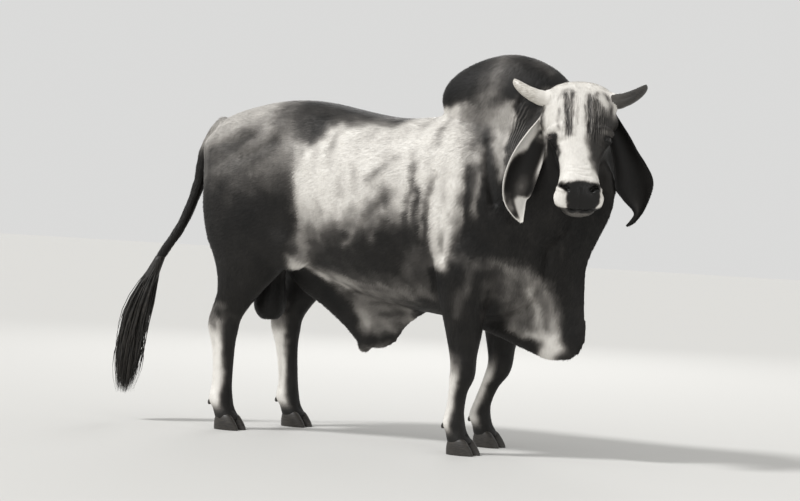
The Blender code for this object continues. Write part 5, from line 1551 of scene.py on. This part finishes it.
# %% Bare skin of the nose
def nose_pad(points):
    """1 on the bare skin of the nose, in the nostrils and on the edges of the lips."""
    h, s, t = head_coords(points)
    wander = 0.0022 * ripple(points, 0.03, 12)
    top = np.clip((h - 0.443 - 0.1 * np.abs(s) + 0.3 * np.clip(s, 0, 1) * 0.2 + wander) / 0.006,
                  0, 1)
    right = np.interp(h, [0.44, 0.474, 0.488, 0.52, 0.545, 0.57],
                      [0.082, 0.078, 0.058, 0.057, 0.05, 0.034])
    left = np.interp(h, [0.44, 0.5, 0.52, 0.545, 0.57], [0.088, 0.092, 0.09, 0.074, 0.046])
    wide = np.clip((np.where(s < 0, right, left) - np.abs(s) + wander) / 0.006, 0, 1)
    front = np.clip((t + 0.096 + wander) / 0.006, 0, 1)
    bare = top * wide * front
    nostril = [(0.452, 0.082), (0.462, 0.068), (0.48, 0.056)]
    for sign in (-1, 1):
        bare = np.maximum(bare, near_rows(h, s * sign, nostril, 0.012) * (t > -0.07))
    lips = hill(t, -mouth_line(h), 0.006)
    lips *= rise(h, 0.43, 0.03) * (t > -0.16)
    return on_head(points) * np.clip(bare + 0.7 * lips, 0, 1)


bare = nose_pad(hide_points)
print("bare skin on the nose and the lips:", int((bare > 0.5).sum()), "points")

# %% [markdown]
# Fine lines of painted shade and painted light run along the folds of the neck and the
# wrinkles of the forehead: dark in the creases, pale on the ridges. They are too fine for the
# points of the skin: stored are their phase and their strength, and the material draws the
# waves from them.

# %% Fine lines of the neck and the forehead
FOLD_LINES = 5          # lines between the two arcs that were read from the photograph
FOLD_SHADE_STRENGTH = 0.17    # how much lighter and darker than the tone they are
STREAK_APART = 0.0105   # between the fine wrinkles of the forehead


def fold_shade_lines(points):
    """Phase of the lines of painted shade and light, which fan out upwards on the neck, and how
    strong they are.
    """
    x, _, z = points.T
    first = np.interp(z, [1.2, 1.31, 1.39, 1.47, 1.55], [0.66, 0.655, 0.648, 0.655, 0.69])
    last = np.interp(z, [1.2, 1.34, 1.4, 1.47, 1.52, 1.56], [0.695, 0.69, 0.705, 0.73, 0.78, 0.83])
    count = FOLD_LINES * (x - first) / (last - first) + 0.35 * ripple(points, 0.09, 35)
    strong = rise(x - first, -0.02, 0.03) * fall(x, last + 0.07, 0.06)
    strong = strong * rise(z, 1.22, 0.1) * fall(z, 1.57, 0.05)
    strong = strong * np.clip(1.0 + 0.5 * ripple(points, 0.05, 36), 0.3, 1) * on_neck(points)
    h, s, t = head_coords(points)
    forehead = on_head(points) & (t > -0.06) & (h > 0) & (h < 0.27) & (np.abs(s) < 0.13)
    streaks = sum(near_rows(h, s, rows, 1.3 * width) for rows, width, _ in FOREHEAD_PAINTED_SHADES)
    wander = 0.55 * ripple(points * [1, 1, 0.5], 0.06, 38)
    count = np.where(forehead, s / STREAK_APART + wander, count)
    broken = np.clip(0.8 + ripple(points, 0.04, 39), 0, 1)
    strong = np.where(forehead, 0.9 * np.clip(streaks, 0, 1) * broken, strong)
    return np.column_stack([2 * math.pi * count, FOLD_SHADE_STRENGTH * strong, np.zeros(len(points))])


lines = fold_shade_lines(hide_points)
print("fine lines run over", int((lines[:, 1] > 0.01).sum()), "points")

# %% [markdown]
# The ears are nearly bare in the cup, which is dark with dark skin and painted shade, and pale
# along the rim; the far ear is painted dark all over as shade. Where a point lies on an ear is
# looked up from the loft that made it.

# %% Where the ears are
def ear_places():
    """For both ears: points of the loft with their share along it, across it and which face."""
    rows = []
    for side, ear_rows in ((-1, EAR_RIGHT), (1, EAR_LEFT)):
        count = np.arange(EAR_RINGS * 2 * EAR_ACROSS)
        verts = np.array(ear_loft(side, ear_rows, EAR_RINGS, EAR_ACROSS)[0][:len(count)])
        ringed, place = count // (2 * EAR_ACROSS), count % (2 * EAR_ACROSS)
        outer = place < EAR_ACROSS
        across = np.where(outer, place, 2 * EAR_ACROSS - 1 - place) / (EAR_ACROSS // 2) - 1.0
        rows.append(np.column_stack([verts, ringed / (EAR_RINGS - 1), across, outer,
                                     np.full(len(verts), side)]))
    return np.vstack(rows)


def ear_lookup(points):
    """Share along the ear, share across, 1 on its outer face, and how surely it is ear."""
    table = ear_places()
    tree = kdtree.KDTree(len(table))
    for k, row in enumerate(table):
        tree.insert(row[:3], k)
    tree.balance()
    along, across, outer = (np.zeros(len(points)) for _ in range(3))
    sure, which = np.zeros(len(points)), np.zeros(len(points))
    s = np.abs(head_coords(points)[1])
    for k in np.nonzero((s > 0.1) & (s < 0.36) & (points[:, 2] > 0.98) & (points[:, 0] > 0.7))[0]:
        _, found, far = tree.find(points[k])
        along[k], across[k], outer[k], which[k] = table[found, 3:7]
        sure[k] = min(max((0.012 - far) / 0.006, 0.0), 1.0)
    return along, across, outer, sure, which


def ear_tone(tone, points, ears):
    """The right ear is white round its rim and in the fold at its tip, with painted shade at its
    root and in its cup; the left one is painted dark as shade.
    """
    along, across, outer, sure, which = ears
    inner = across * np.where(which < 0, -1, 1)         # +1 at the edge next to the face
    broad = 0.74 - 0.98 * hill(along, 0.26, 0.12) * (inner < 0)
    rim = rise(np.abs(across), broad, 0.12)
    mottle = ripple(points, 0.05, 21)
    # the cup: dark skin and painted shade
    cup = 0.05 + 0.34 * hill(along, 0.6, 0.1) * hill(inner, 0.35, 0.35)
    upper = 0.62 + 0.45 * mottle - 0.35 * np.clip(inner, 0, 1)
    cup = toward(cup, upper, fall(along, 0.25, 0.05))
    # painted shade at the root of the ear
    cup = toward(cup, 0.06, np.clip((0.1 - along + 0.03 * mottle) / 0.03, 0, 1) * (inner > -0.3))
    tip = rise(along, 0.66, 0.08) * fall(inner, 0.05, 0.2)
    cup = toward(cup, 0.4 + 0.25 * mottle, tip)
    value = np.where(outer > 0.5, 0.5 + 0.15 * mottle, cup)
    pale = np.where(inner < 0, rise(along, 0.05, 0.08), hill(along, 0.41, 0.1))
    value = toward(value, 0.92, rim * pale)
    fold = np.clip((along - 0.68 + 0.06 * mottle) / 0.04, 0, 1) * rise(inner, 0.05, 0.15)
    value = toward(value, 0.95, np.maximum(fold, rise(along, 0.92, 0.04)))
    # the far ear is painted dark all over: painted shade
    dark = np.where(outer > 0.5, 0.08 + 0.04 * mottle, 0.05) + 0.16 * hill(along, 0.7, 0.1) \
        * hill(inner, 0.2, 0.3)
    return toward(tone, np.where(which < 0, value, dark), sure)


ears = ear_lookup(hide_points)
tone = toward(ear_tone(tone, hide_points, ears), 0.03, bare)
print("points on the ears:", int((ears[3] > 0.5).sum()))

# %% [markdown]
# Hair lies back and down on the trunk and down the legs and the face. It is shortest on the
# face and the feet. Combing it by hand would look livelier; a rule for each region can be
# read, and stays true when the shapes change.

# %% Lie, length and density of the hair
def front_of_head(points):
    """Where the hair is short: the head without its ears and the nape."""
    _, s, t = head_coords(points)
    return on_head(points) & (t > -0.24) & (np.abs(s) < 0.17)


def side_of_neck(points):
    return on_neck(points) & (points[:, 2] > 1.15)


def lie_of_hair(points, ears):
    """Direction of the hair: back and down on the trunk, down the legs, down the face."""
    x, y, z = points.T
    lie = np.tile([-1.0, 0.0, -0.42], (len(points), 1))
    low = fall(z, 0.86, 0.22) * ((np.abs(y) > 0.09) | (x < -0.6))
    for share, way in ((rise(x, 0.3, 0.35), [-0.45, 0.0, -0.9]), (low, [-0.1, 0.0, -1.0])):
        lie = lie * (1 - share[:, None]) + share[:, None] * np.array(way)
    _, s, _ = head_coords(points)
    face = HEAD_LONG + np.outer(np.sign(s) * np.clip(np.abs(s) / 0.15, 0, 1), HEAD_LEFT) * 0.5
    ear = [0.0, 0.0, -1.0] + np.outer(np.sign(s), HEAD_LEFT) * 0.3
    belly = (z < 0.74) & (x < 0.34) & (x > -0.5) & (np.abs(y) < 0.2)
    tail = (x < -1.07) & (z < 1.42)
    for area, way in ((belly, [-0.9, 0.0, -0.5]), (side_of_neck(points), [-0.3, 0.0, -0.95]),
                      (front_of_head(points), face), (tail, [-0.25, -0.15, -1.0]),
                      (ears[3] > 0.5, ear)):
        lie = np.where(area[:, None], way, lie)
    return lie


def hair_length(points, normals, ears, bare):
    """Length of a tuft in metres: shortest on the face and the feet, longest on ridges."""
    z = points[:, 2]
    length = np.where(z < 0.62, np.interp(z, [0.08, 0.45, 0.62], [0.009, 0.012, 0.018]), 0.02)
    length = np.where((normals[:, 2] > 0.75) & (z > 1.35), 0.022, length)
    length = np.where(side_of_neck(points), 0.013, length)
    # a tuft hangs from the end of the sheath
    length = length + 0.02 * hill(far_from(points, np.array([-0.11, 0.0, 0.44])), 0, 0.06)
    down = head_coords(points)[0]
    short = np.interp(down, [-0.05, 0.05, 0.2, 0.45], [0.018, 0.014, 0.01, 0.007])
    length = np.where(front_of_head(points), short, length)
    length = np.where(ears[3] > 0.5, np.where(np.abs(ears[1]) > 0.8, 0.008, 0.007), length)
    return length * (1 - 0.5 * bare)


def hair_density(points, ears, bare):
    """Tufts per square metre."""
    along, across, outer, sure, _ = ears
    density = np.where(points[:, 2] < 0.62, 26000.0, 22000.0)
    density = np.where(side_of_neck(points), 34000.0, density)
    close = np.interp(head_coords(points)[0], [0.0, 0.45], [40000.0, 65000.0])
    density = np.where(front_of_head(points), close, density)
    cup = (outer <= 0.5) & (np.abs(across) <= 0.6) & (along >= 0.26) & (along <= 0.68)
    density = np.where(sure > 0.5, np.where(cup, 9000.0, 30000.0), density)
    density = np.where((points[:, 2] < 0.08) | (bare > 0.25), 0.0, density)
    for sign in (-1, 1):
        horn_root = [head_point(0.044, sign * 0.1, -0.062), head_point(0.022, sign * 0.214, -0.054)]
        density = np.where(far_from(points, eye_hollow(sign)) < 0.026, 0.0, density)
        density = np.where(away_from_line(points, horn_root) < 0.036, 0.0, density)
    return density


print("short hair of the head:", int(front_of_head(hide_points).sum()), "points")

# %% [markdown]
# The numbers are stored on the skin: tone, how bare it is, the fine lines, the way the hair
# lies, how long it is and how close it stands. The coat reads them all at its roots.

# %% Store the markings
edges = edges_of(skin.data)
degree = np.bincount(edges.ravel(), minlength=len(tone)).astype(float)
for _ in range(2):
    tone = 0.5 * tone + 0.5 * neighbour_mean(tone[:, None], edges, degree)[:, 0]
lines[:, 1] *= 1 - ears[3]
for name, values in (
    ("tone", np.clip(tone, 0, 1)), ("bare", bare), ("fold", lines),
    ("lie", lie_of_hair(hide_points, ears)),
    ("tuft_length", hair_length(hide_points, normals_of(skin.data), ears, bare)),
    ("tuft_density", hair_density(hide_points, ears, bare)),
):
    store(skin.data, name, values)
print("tone from", round(float(tone.min()), 2), "to", round(float(tone.max()), 2),
      "mean", round(float(tone.mean()), 2))

# %% [markdown]
# The skin is unwrapped on its own shape. Nothing is painted on the map by hand, so its
# seams may fall anywhere and a smart projection is enough. The tufts of the coat take their
# place on the same map.

# %% Unwrap the skin
def unwrap(obj):
    bpy.context.view_layer.objects.active = obj
    for other in bpy.context.selected_objects:
        other.select_set(False)
    obj.select_set(True)
    obj.data.uv_layers.new(name="OFBake")
    bpy.ops.object.mode_set(mode="EDIT")
    bpy.ops.mesh.select_all(action="SELECT")
    bpy.ops.uv.smart_project(angle_limit=math.radians(66), island_margin=0.001)
    bpy.ops.object.mode_set(mode="OBJECT")
    obj.select_set(False)


unwrap(skin)
print("skin unwrapped")

# %% [markdown]
# The hide. Short smooth hair over dark skin: the colour goes from near black over warm
# grey to off-white with the tone, broken up by soft mottling about 30 mm across and by
# streaks of hair. The streaks and their bump are drawn coarser than real hair, about 7 mm
# wide and 30 mm long, so that they show. The bare skin of the nose is pebbled and shiny.

# %% Material of the hide
COAT_COLOURS = ((0.0, "0E0D0C"), (0.14, "211F1D"), (0.32, "4B4845"), (0.55, "8D8984"),
                (0.8, "CDC9C3"), (1.0, "EFECE6"))
MOTTLE, BLOTCH, PEBBLE = 0.03, 0.16, 0.0055     # metres: small and large clouds, pebbles


def stored_number(tree, name, output="Fac"):
    """What is stored on the mesh under a name."""
    return node(tree, "ShaderNodeAttribute", attribute_name=name).outputs[output]


def in_place(tree):
    return node(tree, "ShaderNodeTexCoord").outputs["Object"]


def noise(tree, vector, scale=1.0, detail=3.0, rough=0.5):
    made = node(tree, "ShaderNodeTexNoise", [("Vector", vector)], in_Scale=scale,
                in_Detail=detail, in_Roughness=rough)
    return made.outputs["Fac"]


def streaks(tree, scale, turn=(0.0, 0.0, 0.0), detail=3.0, rough=0.5):
    """Noise drawn out to streaks: `scale` is how fine it is along each axis."""
    drawn = node(tree, "ShaderNodeMapping", [("Vector", in_place(tree))], in_Scale=scale,
                 in_Rotation=turn)
    return noise(tree, drawn.outputs["Vector"], 1.0, detail, rough)


def ramp(tree, share, *stops):
    """Colours from stops of (share, hex)."""
    made = node(tree, "ShaderNodeValToRGB", [(0, share)])
    ends = made.color_ramp.elements
    for end, (at, colour) in zip((ends[0], ends[1]), (stops[0], stops[-1])):
        end.position, end.color = at, linear(colour)
    for at, colour in stops[1:-1]:
        ends.new(at).color = linear(colour)
    return made.outputs["Color"]


def bumped(tree, shader, height, strength, distance):
    made = node(tree, "ShaderNodeBump", [("Height", height)], in_Strength=strength,
                in_Distance=distance)
    tree.links.new(made.outputs["Normal"], shader.inputs["Normal"])


def coat_colour(tree, shader, random_name=None):
    """Tone plus mottling, through the ramp of greys; skin and coat both use it."""
    tone = stored_number(tree, "tone")
    hair = streaks(tree, (150.0, 150.0, 30.0), (0.0, 0.45, 0.0), rough=0.6)
    small = noise(tree, in_place(tree), 1 / MOTTLE, 4.0, 0.65)
    mottling = calc(tree, "MULTIPLY_ADD", small, 0.22, -0.11)
    for cloud in (noise(tree, in_place(tree), 1 / BLOTCH), hair):
        mottling = calc(tree, "MULTIPLY_ADD", cloud, 0.2, mottling)
    mottling = calc(tree, "SUBTRACT", mottling, 0.2)
    if random_name:
        mottling = calc(tree, "MULTIPLY_ADD", stored_number(tree, random_name), 0.09, mottling)
    # fine lines of painted shade and painted light along the folds of the neck and the forehead
    fold = node(tree, "ShaderNodeSeparateXYZ", [(0, stored_number(tree, "fold", "Vector"))])
    wave = calc(tree, "SINE", fold.outputs["X"])
    folded = calc(tree, "MULTIPLY_ADD", wave, fold.outputs["Y"], tone)
    # the mottling is weakest where the coat is black, or it would look dusty
    room = calc(tree, "MULTIPLY_ADD", tone, 0.55, 0.1)
    room.node.use_clamp = True
    mottled = calc(tree, "MULTIPLY_ADD", mottling, room, folded)
    tree.links.new(ramp(tree, mottled, *COAT_COLOURS), shader.inputs["Base Color"])
    return hair


def hide_material():
    mat, tree, shader = new_material("short_haired_hide", Sheen_Weight=0.03, Sheen_Roughness=0.4,
                                     Specular_IOR_Level=0.28)
    hair = calc(tree, "MULTIPLY", coat_colour(tree, shader), 0.8)
    bare = stored_number(tree, "bare")
    rough = node(tree, "ShaderNodeMapRange", [("Value", bare)], in_3=0.58, in_4=0.3)
    tree.links.new(rough.outputs["Result"], shader.inputs["Roughness"])
    pebble = node(tree, "ShaderNodeTexVoronoi", [("Vector", in_place(tree))], in_Scale=1 / PEBBLE)
    height = node(tree, "ShaderNodeMix", [(0, bare), (2, hair), (3, pebble.outputs["Distance"])])
    bumped(tree, shader, height.outputs[0], 0.35, 0.002)
    return mat


skin.data.materials.clear()
skin.data.materials.append(hide_material())
print("hide material set")

# %% [markdown]
# Horn is keratin: hard, faintly waxy, darker toward the tip and streaked along its length
# near the base, where it grows. The near horn is pale and the far one dark.

# %% Materials of horns and hooves
def streaked_horn(name, low, high, scale, turn, rough, bump_size, root=None):
    """Keratin: fine streaks between two colours, and a third one at the root."""
    mat, tree, shader = new_material(name, Roughness=rough, IOR=1.54)
    lines = streaks(tree, scale, turn, 5.0, 0.6)
    colour = ramp(tree, lines, (0.34, low), (0.66, high))
    if root:
        ragged = calc(tree, "MULTIPLY_ADD", lines, 0.5, stored_number(tree, "from_root"))
        share = node(tree, "ShaderNodeMapRange", [("Value", ragged)], in_1=0.28, in_2=0.72)
        mixed = node(tree, "ShaderNodeMix", [(0, share.outputs["Result"]), (7, colour)],
                     data_type="RGBA")
        mixed.inputs[6].default_value = linear(root)
        colour = mixed.outputs[2]
    tree.links.new(colour, shader.inputs["Base Color"])
    bumped(tree, shader, lines, 0.3, bump_size)
    return mat


LENGTHWISE = ((60, 60, 260), (0.0, 0.0, 0.6))       # streaks of a horn and how they are turned
LEVEL = ((45, 45, 420), (0.0, 0.0, 0.0))            # growth lines round a claw
pale_horn = streaked_horn("pale_horn", "A39D93", "DAD6CE", *LENGTHWISE, 0.42, 0.001, "E6E2DB")
dark_horn = streaked_horn("dark_horn", "171513", "37332F", *LENGTHWISE, 0.38, 0.001, "45413C")
hoof_horn = streaked_horn("black_hoof_horn", "141210", "3B3630", *LEVEL, 0.45, 0.0012)
horns["right"].data.materials.append(pale_horn)
horns["left"].data.materials.append(dark_horn)
for piece in hooves.values():
    piece.data.materials.append(hoof_horn)
print("horn materials:", pale_horn.name, dark_horn.name, hoof_horn.name)

# %% [markdown]
# The eye is wet and so dark a brown that no pupil stands out of it; what shows is the gloss
# of the cornea. The hair of the switch is coarse and dry.

# %% Materials of eyes and long hair
def wet_eye():
    mat, tree, shader = new_material("wet_dark_eye", Roughness=0.06, IOR=1.376, Coat_Weight=0.6,
                                     Coat_Roughness=0.03)
    flecks = ramp(tree, noise(tree, in_place(tree), 420.0), (0.0, "0B0807"), (1.0, "2A1C14"))
    tree.links.new(flecks, shader.inputs["Base Color"])
    return mat


def long_hair():
    """Coarse black tail hair: dry, a little browner where the light has bleached it."""
    mat, tree, shader = new_material("coarse_tail_hair", Roughness=0.5, Specular_IOR_Level=0.35)
    lines = ramp(tree, streaks(tree, (260, 260, 14)), (0.35, "0E0D0C"), (0.72, "37332E"))
    tree.links.new(lines, shader.inputs["Base Color"])
    return mat


eye_gloss = wet_eye()
for piece in eyes.values():
    piece.data.materials.append(eye_gloss)
tail_hair.data.materials.append(long_hair())
print("eye and tail hair set")

# %% [markdown]
# The coat. A hair system could grow it, but would not outlive an export; tufts of mesh do.
# Geometry Nodes scatter them over the skin: as many as tuft_density says,
# standing on the skin's normal, turned along the lie of the hair and laid nearly flat. A
# tuft is a blade of two faces that narrows to its tip. Its tone is the skin's at its root,
# and its patch on the map lies at the root's own place.

# %% The coat's node tree
TUFTS = {"Density": 1.0, "Length": 1.0, "Width": 0.115, "Lift": 0.07}       # shares of the stored
TUFT_PATCH = 0.003      # size of a tuft on the map
TUFT_TAPER, TUFT_ARCH = 1.4, 0.22


def coat_tree(material):
    tree = bpy.data.node_groups.new("short coat", "GeometryNodeTree")
    sockets = tree.interface
    sockets.new_socket("Skin", in_out="INPUT", socket_type="NodeSocketGeometry")
    for name, value in {"Seed": 3, **TUFTS}.items():
        kind = "NodeSocketInt" if name == "Seed" else "NodeSocketFloat"
        sockets.new_socket(name, in_out="INPUT", socket_type=kind).default_value = value
    sockets.new_socket("Coat", in_out="OUTPUT", socket_type="NodeSocketGeometry")
    given = node(tree, "NodeGroupInput").outputs
    out = node(tree, "NodeGroupOutput")

    def named(name, kind="FLOAT_VECTOR"):
        found = node(tree, "GeometryNodeInputNamedAttribute", data_type=kind)
        found.inputs["Name"].default_value = name
        return found.outputs["Attribute"]

    def kept(geometry, name, value, kind, domain):
        made = node(tree, "GeometryNodeStoreNamedAttribute", data_type=kind, domain=domain)
        made.inputs["Name"].default_value = name
        tree.links.new(geometry, made.inputs["Geometry"])
        tree.links.new(value, made.inputs["Value"])
        return made.outputs["Geometry"]

    def times(a, b):
        return calc(tree, "MULTIPLY", a, b)

    def chance(low, high, seed):
        made = node(tree, "FunctionNodeRandomValue", data_type="FLOAT")
        for key, value in (("Min", low), ("Max", high), ("Seed", seed)):
            made.inputs[key].default_value = value
        return [o for o in made.outputs if o.enabled][0]

    # the roots, each with its place on the skin's map and a shade of its own
    dense = times(named("tuft_density", "FLOAT"), given["Density"])
    spread = node(tree, "GeometryNodeDistributePointsOnFaces",
                  [("Mesh", given["Skin"]), ("Density", dense), ("Seed", given["Seed"])])
    roots = kept(spread.outputs["Points"], "root_map", named("OFBake"), "FLOAT_VECTOR", "POINT")
    roots = kept(roots, "own_shade", chance(-1.0, 1.0, 5), "FLOAT", "POINT")

    # one tuft of unit length: a strip of two faces that narrows to its tip and arches
    blade = node(tree, "GeometryNodeMeshGrid", in_0=1.0, in_1=1.0, in_2=3, in_3=2)
    place = node(tree, "GeometryNodeInputPosition")
    xyz = node(tree, "ShaderNodeSeparateXYZ", [(0, place.outputs[0])])
    along = calc(tree, "ADD", xyz.outputs["X"], 0.5)
    taper = calc(tree, "SUBTRACT", 1.0, calc(tree, "POWER", along, TUFT_TAPER))
    narrow = calc(tree, "ADD", times(taper, 0.93), 0.07)
    wide = times(times(xyz.outputs["Y"], narrow), given["Width"])
    arch = times(times(along, calc(tree, "SUBTRACT", 1.0, along)), TUFT_ARCH)
    shaped = node(tree, "ShaderNodeCombineXYZ", [(0, along), (1, wide), (2, arch)])
    bent = node(tree, "GeometryNodeSetPosition", [("Geometry", blade.outputs["Mesh"]),
                                                  ("Position", shaped.outputs[0])])
    tuft = kept(bent.outputs["Geometry"], "patch", blade.outputs["UV Map"], "FLOAT_VECTOR",
                "CORNER")

    # the tufts stand on the normal, are turned along the lie and swayed a little by chance
    turn = node(tree, "FunctionNodeAxesToRotation", [("Primary Axis", spread.outputs["Normal"]),
                                                     ("Secondary Axis", named("lie"))],
                primary_axis="Z", secondary_axis="X")
    lift = times(times(given["Lift"], chance(0.5, 1.3, 8)), -1.0)
    sway = node(tree, "ShaderNodeCombineXYZ", [(0, chance(-0.1, 0.1, 6)), (1, lift),
                                               (2, chance(-0.2, 0.2, 7))])
    euler = node(tree, "FunctionNodeEulerToRotation", [(0, sway.outputs[0])])
    swayed = node(tree, "FunctionNodeRotateRotation", [(0, turn.outputs[0]), (1, euler.outputs[0])],
                  rotation_space="LOCAL")
    size = times(times(named("tuft_length", "FLOAT"), chance(0.7, 1.3, 9)), given["Length"])
    stood = node(tree, "GeometryNodeInstanceOnPoints",
                 [("Points", roots), ("Instance", tuft), ("Rotation", swayed.outputs[0]),
                  ("Scale", size)])
    real = node(tree, "GeometryNodeRealizeInstances", [(0, stood.outputs[0])])

    # every tuft has a small patch of the map at its root
    small = node(tree, "ShaderNodeVectorMath", [(0, named("patch"))], operation="SCALE")
    small.inputs["Scale"].default_value = TUFT_PATCH
    at = node(tree, "ShaderNodeVectorMath", [(0, named("root_map")), (1, small.outputs[0])],
              operation="ADD")
    last = kept(real.outputs[0], "OFBake", at.outputs[0], "FLOAT2", "CORNER")
    for name in ("patch", "root_map", "lie", "tuft_length", "tuft_density", "bare"):
        gone = node(tree, "GeometryNodeRemoveAttribute", [("Geometry", last)])
        gone.inputs["Name"].default_value = name
        last = gone.outputs["Geometry"]
    finish = node(tree, "GeometryNodeSetMaterial", [("Geometry", last)])
    finish.inputs["Material"].default_value = material
    tree.links.new(finish.outputs["Geometry"], out.inputs["Coat"])
    return tree


print("tufts:", TUFTS)

# %% [markdown]
# The hair's own material: the same greys as the skin, each tuft a shade lighter or darker,
# soft and only a little glossy.

# %% Material of the coat
def coat_material():
    mat, tree, shader = new_material("short_coat_hair", Roughness=0.55, Specular_IOR_Level=0.25,
                                     Sheen_Weight=0.03)
    coat_colour(tree, shader, "own_shade")
    return mat


COAT = coat_tree(coat_material())
print("coat tree:", len(COAT.nodes), "nodes")

# %% [markdown]
# The coat is grown in five areas, so that each piece stays light. An area is the skin with
# the density set to nothing elsewhere.

# %% Grow the coat
def coat_areas(points):
    x, y, z = points.T
    head = on_head(points)
    fore = ~head & (x > 0.4) & (z > 0.62)
    legs = ~head & ~fore & (z <= 0.62)
    rest = ~head & ~fore & ~legs
    return {"coat_head": head, "coat_forehand": fore, "coat_legs": legs,
            "coat_right_side": rest & (y < 0), "coat_left_side": rest & (y >= 0)}


def set_inputs(mod, **values):
    for item in mod.node_group.interface.items_tree:
        if item.in_out == "INPUT" and item.name in values:
            mod[item.identifier] = values[item.name]


def grow(name, area, seed):
    source = new_object(name, skin.data.copy())
    density = np.zeros(len(area), np.float32)
    source.data.attributes["tuft_density"].data.foreach_get("value", density)
    source.data.attributes["tuft_density"].data.foreach_set("value", density * area)
    mod = source.modifiers.new("coat", "NODES")
    mod.node_group = COAT
    set_inputs(mod, Seed=seed, **TUFTS)
    return applied(source)


coats = {}
for seed, (name, area) in enumerate(coat_areas(points_of(skin.data)).items()):
    coats[name] = grow(name, area, 3 + seed)
    coats[name].data.calc_loop_triangles()
    print(name, len(coats[name].data.loop_triangles), "triangles")

# %% [markdown]
# Everything moves to its place in the frame, replaces its solids and rides on the only body.

# %% Place and hand over
FLESH = [
    "head", "ear_right", "ear_left", "neck", "dewlap", "hump", "torso", "sheath", "scrotum",
    "foreleg_right", "foreleg_left", "hindleg_right", "hindleg_left", "tail_dock", "tail_shaft",
]


def hand_over(obj, slot, *nodes):
    set_points(obj.data, points_of(obj.data) + SHIFT)
    obj.data.shade_smooth()
    if nodes:
        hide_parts(*nodes)
    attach(obj, "root")


hand_over(skin, "pale_hide", *FLESH)
for word, piece in horns.items():
    hand_over(piece, "horn", f"horn_{word}")
for word, piece in eyes.items():
    hand_over(piece, "eye", f"eye_{word}")
for cad_node, piece in hooves.items():
    hand_over(piece, "hoof_horn", cad_node)
hand_over(tail_hair, "switch_hair", "tail_switch")
for piece in coats.values():
    hand_over(piece, "pale_hide")
print("handed over:", 2 + len(horns) + len(eyes) + len(hooves) + len(coats), "pieces")

# %% [markdown]
# The boxes of the solids and of the dressed model are printed, so that they can be set side
# by side. The hide may stand only a little proud of the solids.

# %% Sizes
dressed_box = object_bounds()
for word, box in (("solids", cad_box), ("dressed", dressed_box)):
    print(word, np.round(np.array(box[1]) - np.array(box[0]), 4))
